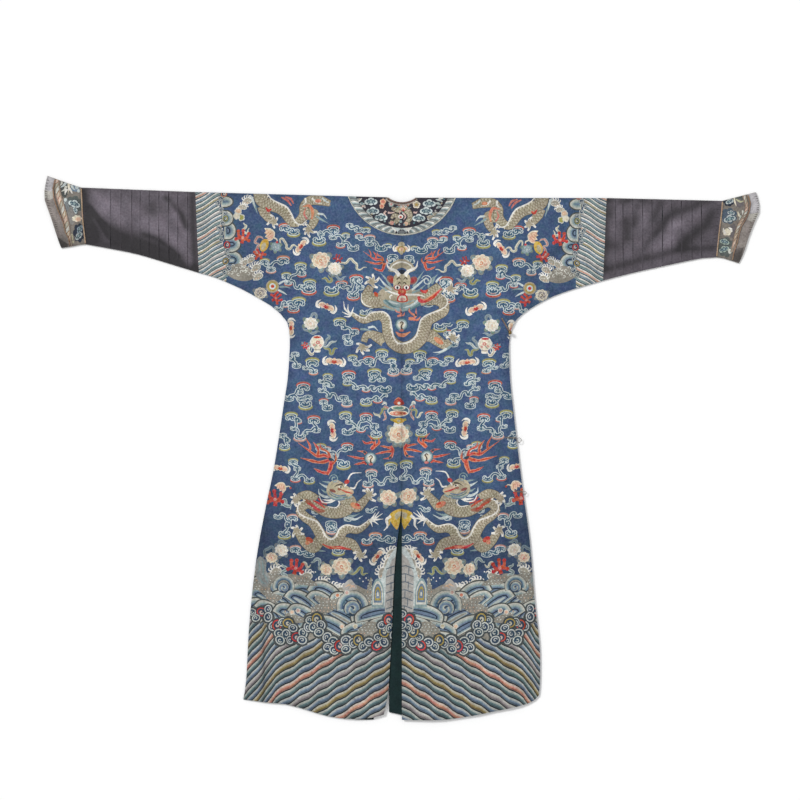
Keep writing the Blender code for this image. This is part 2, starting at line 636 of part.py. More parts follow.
def loop_path(loop):
    """Out along the cloth, round the eye and back beside itself."""
    lift = LOOP_CORD_RADIUS + SEAM_GAP
    upper, lower = loop_runs(loop)
    level = on_back(*upper[-2], lift).z
    centre = Vector((loop["eye_x"], SHOULDER_Y - loop["eye_drop"], level))
    first = Vector((upper[-1].x, SHOULDER_Y - upper[-1].y, level)) - centre
    last = Vector((lower[-1].x, SHOULDER_Y - lower[-1].y, level)) - centre
    start = math.atan2(first.y, first.x) - math.radians(22)
    end = math.atan2(last.y, last.x) + math.radians(14)
    turn = (start - end) % (2 * math.pi)
    eye = []
    for i in range(13):
        angle = start - turn * i / 12
        eye.append(centre + loop["eye_radius"] * Vector((math.cos(angle), math.sin(angle), 0)))
    out_run = [on_back(*p, lift) for p in upper[:-1]]
    back_run = [on_back(*p, lift) for p in lower[:-1]]
    return out_run + eye + back_run[::-1]


# ---------------------------------------------------------------- the robe
for old in list(bpy.data.objects):
    bpy.data.objects.remove(old)
ROBE = bpy.data.collections.new("dragon_robe")
bpy.context.scene.collection.children.link(ROBE)

body_left()
gore_left()
body_right()
overlap()
collar()
sleeves()
trims()
vent_lining()
fastenings()
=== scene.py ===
# %% [markdown]
# # Dressing a Chinese dragon robe
#
# The robe lies flat with its back upwards. Its solids are already made: body, sleeves, cuffs, collar and
# trims, each a thin closed wall. This lesson gives every one of them its silk, its creases and its
# embroidery, and never moves or resizes a solid.
#
# The embroidery is the main work. On the real robe it is coloured silk laid over blue satin, so here it is
# geometry too: each motif is an outline, all the outlines are cut into the cloth's own surface, and each
# face takes the dye of the topmost motif over it. The edges stay crisp at any distance, which a painted
# texture's don't, and no picture is needed.

import functools
import math

import bmesh
import bpy
import numpy as np
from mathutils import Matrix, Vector
from mathutils.bvhtree import BVHTree
from mathutils.geometry import delaunay_2d_cdt


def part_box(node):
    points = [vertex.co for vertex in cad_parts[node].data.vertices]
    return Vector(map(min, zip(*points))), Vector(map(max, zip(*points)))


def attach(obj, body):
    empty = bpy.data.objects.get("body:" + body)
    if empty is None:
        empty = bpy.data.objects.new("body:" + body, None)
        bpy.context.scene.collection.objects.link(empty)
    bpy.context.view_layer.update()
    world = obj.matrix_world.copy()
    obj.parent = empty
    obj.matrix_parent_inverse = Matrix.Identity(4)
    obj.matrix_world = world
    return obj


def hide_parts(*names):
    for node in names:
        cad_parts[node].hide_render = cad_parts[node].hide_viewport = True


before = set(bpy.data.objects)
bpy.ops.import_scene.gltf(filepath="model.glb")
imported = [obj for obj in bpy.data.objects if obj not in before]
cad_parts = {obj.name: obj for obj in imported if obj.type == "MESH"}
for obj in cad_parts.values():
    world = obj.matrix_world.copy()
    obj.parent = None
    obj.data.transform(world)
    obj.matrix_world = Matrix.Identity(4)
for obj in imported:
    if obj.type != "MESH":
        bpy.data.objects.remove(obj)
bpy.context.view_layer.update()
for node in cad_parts.values():
    node.select_set(False)

# %% [markdown]
# ## How places are given
#
# A maker measures embroidery from two lines: the centre seam and the level of the shoulders. So every motif
# is placed by `x`, centimetres from the centre seam with the wearer's right positive, and `drop`,
# centimetres below the shoulder line. A motif's own outline is drawn round (0, 0) with y downwards, and a
# `Spot` carries it to its place on the cloth.

# %% Places on the cloth

SHOULDER_Y = 0.666                               # height of the shoulder line, in metres
CM = 0.01


def on_cloth(points):
    """(x, drop) in centimetres as (x, y) in metres."""
    points = np.asarray(points, float)
    return np.column_stack([points[:, 0] * CM, SHOULDER_Y - points[:, 1] * CM])


def marked(text):
    """Points marked on the cloth, written as x,drop pairs in millimetres, as centimetres."""
    return np.array([pair.split(",") for pair in text.split()], float) / 10


def all_marked(text):
    """Several such lines, with | between them."""
    return [marked(line) for line in text.split("|")]


def dyed_lines(text):
    """Rows of a dye, a colon and a line, as (dye, line)."""
    rows = (row.split(":") for row in text.strip().splitlines())
    return [(dye.strip(), marked(line)) for dye, line in rows]


class Spot:
    """A place on the cloth with a size, a turn in degrees (clockwise as seen) and a flip."""

    def __init__(self, x, drop, size=1.0, turn=0.0, flip=False):
        self.centre = np.array([x, drop])
        self.size = size
        angle = math.radians(turn)
        self.turn = np.array([[math.cos(angle), math.sin(angle)], [-math.sin(angle), math.cos(angle)]])
        self.flip = np.array([-1.0 if flip else 1.0, 1.0])

    def at(self, points):
        """Points drawn round (0, 0) as (x, drop) on the cloth."""
        return (np.atleast_2d(np.asarray(points, float)) * self.flip * self.size) @ self.turn + self.centre


# %% [markdown]
# ## Drawing with outlines
#
# Everything embroidered here is made from a few kinds of outline: a smooth curve through some points, a
# band that follows a curve and tapers, an oval, a scalloped round and a spiral. `Needlework` collects them
# in the order in which they are sewn, so that a later one lies over an earlier one.

# %% Outlines
def curve(points, steps=6):
    """A smooth curve through the points, with some steps from each to the next."""
    p = np.asarray(points, float)
    p = np.vstack([2 * p[0] - p[1], p, 2 * p[-1] - p[-2]])
    t = (np.arange(steps) / steps)[:, None]
    spans = []
    for a, b, c, d in zip(p, p[1:], p[2:], p[3:]):
        spans.append(0.5 * (2 * b + (c - a) * t + (
                    2 * a - 5 * b + 4 * c - d) * t ** 2 + (3 * b - a - 3 * c + d) * t ** 3))
    return np.vstack([*spans, p[-2:-1]])


def normals(line):
    """Unit vectors square to a line at each of its points."""
    run = np.gradient(line, axis=0)
    run /= np.maximum(np.hypot(run[:, 0], run[:, 1]), 1e-9)[:, None]
    return np.column_stack([-run[:, 1], run[:, 0]])


def band(line, widths):
    """The outline of a band along a line. widths is one width, or some spread evenly along the line."""
    widths = np.atleast_1d(np.asarray(widths, float))
    along = np.linspace(0, 1, len(line))
    half = np.interp(along, np.linspace(0, 1, len(widths)), widths)[:, None] / 2
    side = normals(line) * half
    return np.vstack([line + side, (line - side)[::-1]])


def oval(x, y, across, down=None, turn=0.0, points=12):
    """An ellipse with these half-sizes."""
    a = np.arange(points) / points * 2 * math.pi
    p = np.column_stack([across * np.cos(a), (across if down is None else down) * np.sin(a)])
    c, s = math.cos(math.radians(turn)), math.sin(math.radians(turn))
    return p @ np.array([[c, s], [-s, c]]) + (x, y)


def scallop(x, y, radius, lobes, depth=0.16, squash=1.0, turn=0.0, points=5):
    """A round outline of petals."""
    a = np.arange(lobes * points) / (lobes * points) * 2 * math.pi
    r = radius * (1 - depth + depth * np.abs(np.sin(lobes * a / 2)) ** 0.7)
    a = a + math.radians(turn)
    return np.column_stack([r * np.cos(a), squash * r * np.sin(a)]) + (x, y)


def spiral(x, y, outer, inner, start, turns, points=14):
    """A line that winds in from outer to inner. start is in degrees, and turns is signed."""
    t = np.linspace(0, 1, max(4, int(points * abs(turns)) + 1))
    r = outer + (inner - outer) * t
    a = math.radians(start) + turns * 2 * math.pi * t
    return np.column_stack([r * np.cos(a), r * np.sin(a)]) + (x, y)


def strip(points, widths, steps=4):
    """A band along the smooth curve through the points."""
    return band(curve(points, steps), widths)


def distances(line):
    """How far along a line each of its points lies."""
    return np.concatenate([[0], np.cumsum(np.hypot(*np.diff(line, axis=0).T))])


def winding(points, swing, length):
    """A smooth curve through the points that sways from side to side, once for each length."""
    line = curve(points, 7)
    along = distances(line)
    sways = max(2, round(along[-1] / length))
    return line + normals(line) * (np.sin(math.pi * sways * along / along[-1]) * swing)[:, None]


SLACK = 0.05             # a point this near to the line between its neighbours can be spared


def thinned(points):
    """An outline without the points that it can spare."""
    for _ in range(3):
        if len(points) > 7:
            before, after = np.roll(points, 1, axis=0), np.roll(points, -1, axis=0)
            run, step = after - before, points - before
            off = np.abs(run[:, 0] * step[:, 1] - run[:, 1] * step[:, 0]) / np.maximum(np.hypot(*run.T), 1e-9)
            spare = off < SLACK
            spare[1::2] = False
            points = points[~spare]
    return points


class Needlework:
    """Shapes of coloured silk in the order in which they are sewn, as (x, drop) in centimetres."""

    def __init__(self):
        self.shapes = []

    def fill(self, points, dye, grain=0.0, exact=False):
        """Fills an outline with a dye. grain is the way its stitches run, in degrees."""
        points = np.asarray(points, float)
        self.shapes.append((points if exact else thinned(points), dye, grain))

    def mapped(self, change):
        """The same shapes with their points changed by a function."""
        made = Needlework()
        made.shapes = [(change(points), dye, grain) for points, dye, grain in self.shapes]
        return made

    def __add__(self, other):
        made = Needlework()
        made.shapes = self.shapes + other.shapes
        return made

# %% [markdown]
# ## From a solid to a dressed panel
#
# A panel starts as a copy of its solid. Its upper side, the one that faces up and is seen, is found by
# walking from its highest face to every neighbour that lies nearly level. Those faces are taken out, and a
# finer sheet with the same edge takes their place: the edge, the motifs' outlines and a grid of points are
# joined into triangles, each point gets its height from the solid, smoothed, and the creases are added.
# Where the sheet's edge has gained points, the old faces beside it are fanned out to meet them, so the
# panel stays closed.

# %% Find the side of a solid that is seen
def welded_copy(node):
    """The solid's points and triangles, with the loose triangles joined."""
    mesh = bmesh.new()
    mesh.from_mesh(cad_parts[node].data)
    bmesh.ops.remove_doubles(mesh, verts=mesh.verts, dist=1e-5)
    bmesh.ops.triangulate(mesh, faces=mesh.faces)
    mesh.verts.ensure_lookup_table()
    points = np.array([v.co[:] for v in mesh.verts])
    faces = np.array([[v.index for v in f.verts] for f in mesh.faces])
    mesh.free()
    return points, faces


def face_normals(points, faces):
    a, b, c = (points[faces[:, i]] for i in range(3))
    n = np.cross(b - a, c - a)
    return n / np.maximum(np.linalg.norm(n, axis=1), 1e-12)[:, None]


def level_faces(points, faces, facing, least=0.6):
    """Faces that can be walked to from the outermost one without leaving those that face up, or down."""
    normal = face_normals(points, faces)[:, 2] * facing
    height = points[faces][:, :, 2].mean(axis=1) * facing
    seed = int(np.argmax(np.where(normal > 0.9, height, -9.0)))
    by_edge = {}
    for i, face in enumerate(faces):
        for a, b in zip(face, np.roll(face, -1)):
            by_edge.setdefault((min(a, b), max(a, b)), []).append(i)
    found, queue = {seed}, [seed]
    while queue:
        face = faces[queue.pop()]
        for a, b in zip(face, np.roll(face, -1)):
            for other in by_edge[(min(a, b), max(a, b))]:
                if other not in found and normal[other] > least:
                    found.add(other)
                    queue.append(other)
    return np.array(sorted(found))


def edge_loop(faces):
    """The points round the outside of these faces, in order, with the faces on their left."""
    following = {}
    directed = {(int(a), int(b)) for face in faces for a, b in zip(face, np.roll(face, -1))}
    for a, b in directed:
        if (b, a) not in directed:
            following[a] = b
    loop = [next(iter(following))]
    while following[loop[-1]] != loop[0]:
        loop.append(following[loop[-1]])
    assert len(loop) == len(following), "the upper side has more than one edge"
    return loop


# %% [markdown]
# The solids are faceted, so a height read straight from them would show flat triangles in low light. The
# heights are read on a grid instead and blurred with their neighbours, which rounds the folds off as cloth
# would. Near the panel's edge the true edge height takes over, so neighbouring panels still meet.

# %% Smooth heights
GRID = 0.007             # from one height to the next
MARGIN = 6 * GRID        # heights are spread this far beyond the edge
BLUR_ROUNDS = 5
MOST_LOWERED = 0.0006    # blurring never lowers the cloth further than this


def blurred(heights):
    for _ in range(BLUR_ROUNDS):
        for axis in (0, 1):
            before = np.roll(heights, 1, axis)
            after = np.roll(heights, -1, axis)
            heights = 0.25 * before + 0.5 * heights + 0.25 * after
    return heights


class Relief:
    """Heights of the upper side of a solid, over a grid."""

    def __init__(self, points, faces):
        tree = BVHTree.FromPolygons([Vector(p) for p in points], faces.tolist())
        used = points[np.unique(faces)]
        self.low = used[:, :2].min(axis=0) - MARGIN
        size = np.ceil((used[:, :2].max(axis=0) + MARGIN - self.low) / GRID).astype(int) + 1
        raw = np.full(size, np.nan)
        for i in range(size[0]):
            for j in range(size[1]):
                start = Vector((self.low[0] + i * GRID, self.low[1] + j * GRID, 1))
                hit = tree.ray_cast(start, Vector((0, 0, -1)))[0]
                if hit is not None:
                    raw[i, j] = hit.z
        self.raw = self.filled(raw)
        near = [np.roll(self.raw, (i, j), (0, 1)) for i in (-1, 0, 1) for j in (-1, 0, 1)]
        self.highest = np.maximum.reduce(near)
        self.soft = np.maximum(blurred(self.raw), self.raw - MOST_LOWERED)

    @staticmethod
    def filled(raw):
        """Spreads the known heights outwards over the empty cells."""
        known = ~np.isnan(raw)
        value = np.where(known, raw, 0.0)
        while not known.all():
            total, count = np.zeros_like(value), np.zeros_like(value)
            for axis in (0, 1):
                for step in (1, -1):
                    near = np.roll(known, step, axis)
                    total += np.where(near, np.roll(value, step, axis), 0.0)
                    count += near
            new = ~known & (count > 0)
            value = np.where(new, total / np.maximum(count, 1), value)
            known |= new
        return value

    def at(self, xy, exact=False):
        """Smoothed heights at these places, or the highest that the solid reaches near them."""
        t = (xy - self.low) / GRID
        i = np.clip(t.astype(int), 0, np.array(self.soft.shape) - 2)
        f = t - i
        h = self.highest if exact else self.soft
        near = h[i[:, 0], i[:, 1]] * (1 - f[:, 0]) + h[i[:, 0] + 1, i[:, 1]] * f[:, 0]
        far = h[i[:, 0], i[:, 1] + 1] * (1 - f[:, 0]) + h[i[:, 0] + 1, i[:, 1] + 1] * f[:, 0]
        return near * (1 - f[:, 1]) + far * f[:, 1]


def nearest_on_edge(xy, ring):
    """For each place, its distance to the ring (points x, y, z in order) and the ring's height there."""
    best = np.full(len(xy), 9.0)
    level = np.zeros(len(xy))
    for a, b in zip(ring, np.roll(ring, -1, axis=0)):
        run = b[:2] - a[:2]
        t = np.clip(((xy - a[:2]) @ run) / max(run @ run, 1e-12), 0, 1)
        away = np.hypot(*(xy - a[:2] - t[:, None] * run).T)
        closer = away < best
        best = np.where(closer, away, best)
        level = np.where(closer, a[2] + t * (b[2] - a[2]), level)
    return best, level

# %% [markdown]
# ## Dyes
#
# Old silk thread keeps its hues but greys a little. The dyes are written as they look on screen and turned
# into the linear values that a shader wants.

# %% Dyes
DYES = {
    "ground": "455E83", "dark silk": "5F5861", "lining": "172E2F", "collar": "36333F", "pale": "D2DCDA",
    "mist": "93A9AA", "teal": "5F8288", "sea": "47687A", "deep": "33495F", "cloud": "3C5F7A",
    "cream": "DBDBD0", "white": "F2EFE6", "ivory": "ECE3CC", "peach": "E8C3A6", "salmon": "DB8E70",
    "red": "C74A3E", "brick": "A53D3C", "pink": "DA9F95", "rose": "CC7A70", "sand": "9A958A",
    "gold": "AFA58E", "old gold": "857A64", "bright gold": "C4B99C", "olive": "ABA75E", "mustard": "B09A55",
    "yellow": "D9B54F", "slate": "74899E", "grey blue": "97A8B6", "silver": "B8C4C6", "mauve": "9F9799",
    "navy": "232F40", "furrow": "1F2527", "leaf": "73998A", "brown": "5F5048", "stripe teal": "637E82",
    "stripe blue": "71859C", "cuff": "857E76", "cuff band": "9B928D", "piping": "CDAF92", "binding": "8A6C60",
    # the dye of the dark sleeves' tucks and gathers below is painted shade
    "cord": "A8876E", "tuck": "4C464E", "cuff dark": "5C6360", "silver cloth": "B9B6B9",
    "stripe mustard": "9C8A5A", "stripe salmon": "CF917C", "foam shade": "6E7573", "dry sand": "ABA597",
}
CLOTHS = ("ground", "dark silk", "tuck", "lining", "collar", "cuff", "cuff dark", "cuff band", "silver cloth")
EXPOSURE = 0.89          # the studio is bright, so every dye is taken down by this


def linear(code):
    """A colour as it looks on screen, such as 3C5393, as linear red, green and blue."""
    c = np.array([int(code[i:i + 2], 16) for i in (0, 2, 4)]) / 255
    return np.where(c <= 0.04045, c / 12.92, ((c + 0.055) / 1.055) ** 2.4)


def dye_colour(dye):
    """The linear colour of a dye. Each + takes it nearly half way to cream, and each - halves its light."""
    name = dye.rstrip("+-")
    marks = dye[len(name):]
    keep = 0.55 ** marks.count("+")
    return (
        linear(DYES[name]) * keep + linear(DYES["cream"]) * (1 - keep)) * 0.5 ** marks.count("-") * EXPOSURE

# %% [markdown]
# ## Cutting the motifs into the cloth
#
# A constrained triangulation does the cutting. It takes the panel's edge and every motif's outline as lines
# that its triangles must follow, and then each triangle is tested against every motif in turn. The last one
# that covers it is the topmost silk.

# %% Cut the needlework into a panel's surface
CLOTH_PITCH = 0.0145


def within(xy, ring):
    """Which places lie inside the ring."""
    inside = np.zeros(len(xy), bool)
    for a, b in zip(ring, np.roll(ring, -1, axis=0)):
        if a[1] == b[1]:
            continue
        spans = (a[1] > xy[:, 1]) != (b[1] > xy[:, 1])
        inside ^= spans & (xy[:, 0] < a[0] + (b[0] - a[0]) * (xy[:, 1] - a[1]) / (b[1] - a[1]))
    return inside


def cloth_grid(ring, pitch):
    """Points in staggered rows inside the ring."""
    low, high = ring.min(axis=0), ring.max(axis=0)
    xs = np.arange(low[0], high[0], pitch)
    ys = np.arange(low[1], high[1], pitch * 0.87)
    rows = [np.column_stack([xs + (pitch / 2 if i % 2 else 0), np.full(len(xs), y)]) for i,
        y in enumerate(ys)]
    grid = np.vstack(rows)
    return grid[within(grid, ring)]


def covered(places, outline):
    """Which places lie in the outline, however often it crosses itself."""
    turns = np.zeros(len(places), int)
    for a, b in zip(outline, np.roll(outline, -1, axis=0)):
        up = (a[1] <= places[:, 1]) & (b[1] > places[:, 1])
        down = (a[1] > places[:, 1]) & (b[1] <= places[:, 1])
        if up.any() or down.any():
            left = (b[0] - a[0]) * (places[:, 1] - a[1]) - (places[:, 0] - a[0]) * (b[1] - a[1])
            turns += (up & (left > 0)).astype(int) - (down & (left < 0)).astype(int)
    return turns != 0


def cut_in(ring, needlework, pitch=CLOTH_PITCH):
    """Triangles of the panel inside the ring, the dye and grain of each, and the ring's points among them."""
    low, high = ring.min(axis=0) - 0.002, ring.max(axis=0) + 0.002
    shapes = []
    for points, dye, grain in needlework.shapes:
        placed = on_cloth(points)
        if not ((placed.max(axis=0) < low).any() or (placed.min(axis=0) > high).any()):
            shapes.append((placed, dye, grain))
    chains = [ring, *[placed for placed, _, _ in shapes]]
    edges, at = [], 0
    for chain in chains:
        edges += [(at + i, at + (i + 1) % len(chain)) for i in range(len(chain))]
        at += len(chain)
    places = [Vector(p) for p in np.vstack([*chains, cloth_grid(ring, pitch)])]
    xy, _, triangles, origin, _, _ = delaunay_2d_cdt(places, edges, [], 0, 2e-5)
    xy, triangles = np.array([p[:] for p in xy]), np.array(triangles)
    middles = xy[triangles].mean(axis=1)
    inside = within(middles, ring)
    triangles, middles = triangles[inside], middles[inside]
    order = np.argsort(middles[:, 0])
    sorted_x = middles[order, 0]
    top = np.full(len(triangles), -1)
    for number, (placed, _, _) in enumerate(shapes):
        a, b = np.searchsorted(sorted_x, (placed[:, 0].min(), placed[:, 0].max()))
        near = order[a:b]
        y = middles[near, 1]
        near = near[(y > placed[:, 1].min()) & (y < placed[:, 1].max())]
        if len(near):
            top[near[covered(middles[near], placed)]] = number
    dyes = ["ground" if t < 0 else shapes[t][1] for t in top]
    grains = np.array([0.0 if t < 0 else shapes[t][2] for t in top])
    ring_of = {}
    for i, sources in enumerate(origin):
        for source in sources:
            if source < len(ring):
                ring_of[i] = source
    return xy, triangles, dyes, grains, ring_of


def fan_out(face, inserted):
    """Splits a triangle at the points inserted along its edges."""
    for k in range(3):
        a, b, c = face[k], face[(k + 1) % 3], face[(k + 2) % 3]
        between = inserted.get((a, b))
        if between:
            chain = [a, *between, b]
            made = []
            for p, q in zip(chain, chain[1:]):
                made += fan_out((p, q, c), inserted)
            return made
    return [face]


# %% Dress a panel
LIFT = 0.00025           # how far the stitches stand on the satin
LIFT_REACH = 0.003       # over this distance from an edge the stitches rise to that
CROWN_REACH = 0.0016     # and a rounded trim to its full height
PAINTED_EDGE_SHADE = 0.2         # painted shade: the silk is darker where it rolls over an edge
SHADE_REACH = 0.012      # how far that painted shade reaches in
TONE_LIMITS = (0.22, 1.75)           # the folds' painted shade and highlight never darken or lighten the cloth beyond these
SHARP_ANGLE = math.radians(50)       # edges that bend more than this stay sharp
HEM_AND_SIDE_DARKENING = 0.36              # the satin is darker towards the hem and the sides, and its silk a little
SAFE_DEPTH = 0.0011      # the silk never sinks further than this, so that the lining stays hidden
EDGE_BLEND = 0.016       # over this distance from its edge a panel's smoothed height takes over
RNG = np.random.default_rng(7)
WAVES = [(RNG.uniform(15, 160, 2) * RNG.choice([-1, 1], 2), RNG.uniform(0, 6.28)) for _ in range(14)]


def mottle(xy):
    """A soft uneven value about 0 that changes over a few centimetres, as old dye does."""
    return sum(np.sin(xy @ k + phase) for k, phase in WAVES) / len(WAVES) ** 0.5


def soft_marks(xy, folds, which):
    """The sum over all folds of their height (1) or painted shade and highlight (2), each fading away from
    its line like a bell.
    """
    total = np.zeros(len(xy))
    places = np.column_stack([xy[:, 0] / CM, (SHOULDER_Y - xy[:, 1]) / CM])
    for line, reach, *amounts in folds:
        away = np.full(len(xy), 99.0)
        for a, b in zip(np.array(line), np.array(line)[1:]):
            run = b - a
            t = np.clip(((places - a) @ run) / max(run @ run, 1e-9), 0, 1)
            away = np.minimum(away, np.hypot(*(places - a - t[:, None] * run).T))
        total += amounts[which - 1] * np.exp(-(away / reach) ** 2)
    return total


def mesh_object(name, points, faces, materials, face_material, colours, stitch):
    """A mesh with a colour and a stitch value at each corner of each face."""
    mesh = bpy.data.meshes.new(name)
    mesh.from_pydata(points.tolist(), [], faces.tolist())
    for material in materials:
        mesh.materials.append(material)
    mesh.polygons.foreach_set("material_index", np.asarray(face_material, np.int32))
    for label, values in (("silk_colour", colours), ("stitch", stitch)):
        layer = mesh.color_attributes.new(label, "FLOAT_COLOR", "CORNER")
        layer.data.foreach_set("color",
            np.column_stack([values, np.ones(len(values))]).astype(np.float32).ravel())
    mesh.shade_smooth()
    mesh.set_sharp_from_angle(angle=SHARP_ANGLE)
    mesh.update()
    piece = bpy.data.objects.new(name, mesh)
    bpy.context.scene.collection.objects.link(piece)
    return piece


def dress(node, name, needlework, materials, ground="ground", folds=(), crown=0.0, pitch=CLOTH_PITCH,
        least=0.6):
    """Makes the panel that stands for a node. crown is how far a narrow trim stands up along its middle."""
    points, faces = welded_copy(node)
    upper = level_faces(points, faces, 1, least)
    lower = level_faces(points, faces, -1)
    loop = edge_loop(faces[upper])
    ring = points[loop]
    xy, triangles, dyes, grains, ring_of = cut_in(ring[:, :2], needlework, pitch)

    # heights: the solid's own, smoothed inside the edge, with the folds and the stitches on top
    away, level = nearest_on_edge(xy, ring)
    blend = np.clip(away / EDGE_BLEND, 0, 1)
    blend = blend * blend * (3 - 2 * blend)
    relief = Relief(points, faces[upper])
    z = level + (relief.at(xy) - level) * blend
    z += soft_marks(xy, folds, 1) * 0.001 * blend
    z = np.maximum(z, np.where(away > 1e-6, relief.at(xy, exact=True) - SAFE_DEPTH, level))
    z += crown * np.sqrt(np.clip(away / CROWN_REACH, 0, 1))
    is_silk = np.array([dye.rstrip("+-") not in CLOTHS for dye in dyes], float)
    total = np.bincount(triangles.ravel(), np.repeat(is_silk, 3), len(xy))
    share = total / np.maximum(np.bincount(triangles.ravel(), minlength=len(xy)), 1)
    z += LIFT * share * np.clip(away / LIFT_REACH, 0, 1)

    # the points that the cutting added along the edge, so that the side walls can meet them
    number = len(points) + np.arange(len(xy))
    for i, source in ring_of.items():
        number[i] = loop[source]
    directed = {(int(a), int(b)) for t in triangles for a, b in zip(t, np.roll(t, -1))}
    follow = {a: b for a, b in directed if (b, a) not in directed}
    back = {source: i for i, source in ring_of.items()}
    inserted = {}
    for source in range(len(loop)):
        here, chain = follow[back[source]], []
        while here not in ring_of:
            chain.append(int(number[here]))
            z[here] = level[here]
            here = follow[here]
        if chain:
            inserted[(loop[(source + 1) % len(loop)], loop[source])] = chain[::-1]

    old = np.setdiff1d(np.arange(len(faces)), upper)
    level_up = np.abs(face_normals(points, faces)[:, 2]) > 0.5
    hidden = level_up & ~np.isin(np.arange(len(faces)), lower)
    rest, inner = [], []
    for i in old:
        for split in fan_out(tuple(int(v) for v in faces[i]), inserted):
            rest.append(split)
            inner.append(bool(hidden[i]))
    dyes = [ground if dye == "ground" else dye for dye in dyes] + ["lining" if i else ground for i in inner]
    grains = np.concatenate([grains, np.zeros(len(rest))])
    faces = np.vstack([number[triangles], np.array(rest)])
    inward = np.concatenate([np.zeros(len(points)), away])
    points = np.vstack([points, np.column_stack([xy, z])])
    used, compact = np.unique(faces, return_inverse=True)
    points, faces, inward = points[used], compact.reshape(-1, 3), inward[used]

    # colours: each face's dye, made uneven, with painted shade at the edges, painted shade and highlight in
    # the folds, and darker towards the hem
    palette = {dye: dye_colour(dye) for dye in set(dyes)}
    tone = 1 + 0.07 * mottle(points[:, :2])
    # painted shade where the silk rolls over an edge
    tone *= 1 - PAINTED_EDGE_SHADE * np.exp(-inward / SHADE_REACH)
    # painted shade and painted highlight along the folds
    tone *= np.clip(1 + soft_marks(points[:, :2], folds, 2), *TONE_LIMITS)
    drop = (SHOULDER_Y - points[:, 1]) / CM
    # how far each point lies down towards the hem and out towards the sides
    aged = np.clip((drop - 58) / 38, 0, 1) + 0.45 * np.clip((np.abs(points[:, 0]) - 0.24) / 0.1, 0, 1)
    corner = faces.ravel()
    on_ground = np.repeat([dye == "ground" for dye in dyes], 3)
    tone = tone[corner] * (1 - HEM_AND_SIDE_DARKENING * np.clip(aged, 0, 1.2)[corner] * np.where(on_ground, 1.0, 0.33))
    colours = np.repeat(np.array([palette[dye] for dye in dyes]), 3, axis=0) * tone[:, None]
    is_silk = np.array([dye.rstrip("+-") not in CLOTHS for dye in dyes], float)
    is_gold = np.array(["gold" in dye for dye in dyes], float)
    stitch = np.repeat(np.column_stack([(grains % 180) / 180, is_silk, is_gold]), 3, axis=0)
    material = np.concatenate([np.zeros(len(dyes) - len(rest), int), np.array(inner, int)])
    piece = mesh_object(name, points, faces, materials, material, colours, stitch)
    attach(piece, "root")
    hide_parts(node)
    print(f"{name}: {len(faces)} faces")
    return piece

# %% [markdown]
# ## Silk
#
# Every panel reads its dye from its own corners, so one material can serve blue satin, coloured floss and
# gold thread. What differs is the thread: satin has a fine even weave, floss lies in parallel stitches whose
# way each motif sets, and gold thread is couched in pairs and catches the light. The threads are built once
# as a node group, which gives a tint, a roughness and a height.

# %% A small helper for nodes
def wire(tree, kind, *inputs, **settings):
    """Adds a node, sets its fields and its inputs in order (None leaves one alone), and returns it."""
    node = tree.nodes.new(kind)
    for key, value in settings.items():
        setattr(node, key, value)
    for socket, value in zip(node.inputs, inputs):
        if value is None:
            continue
        if isinstance(value, bpy.types.NodeSocket):
            tree.links.new(value, socket)
        else:
            socket.default_value = value
    return node


def math_node(tree, operation, *inputs):
    return wire(tree, "ShaderNodeMath", *inputs, operation=operation).outputs[0]


def new_group(name, inputs, outputs):
    """A shader node group with named float or colour sockets."""
    group = bpy.data.node_groups.new(name, "ShaderNodeTree")
    for way, sockets in (("INPUT", inputs), ("OUTPUT", outputs)):
        for label, kind, default in sockets:
            socket = group.interface.new_socket(label, in_out=way, socket_type=f"NodeSocket{kind}")
            if default is not None:
                socket.default_value = default
    return group, group.nodes.new("NodeGroupInput"), group.nodes.new("NodeGroupOutput")


# %% The threads
THREAD_INPUTS = (
    ("Dye", "Color", (0.5, 0.5, 0.5, 1)), ("Grain", "Float", 0.0), ("Floss", "Float", 0.0),
    ("Gold", "Float", 0.0), ("Thread", "Float", 0.0011), ("Depth", "Float", 0.5),
)
THREAD_OUTPUTS = (("Color", "Color", None), ("Roughness", "Float", None), ("Height", "Float", None))
# in metres, from one couching stitch, warp or weft thread to the next
COUCH_PITCH, WARP_PITCH, WEFT_PITCH = 0.0042, 0.0009, 0.0013


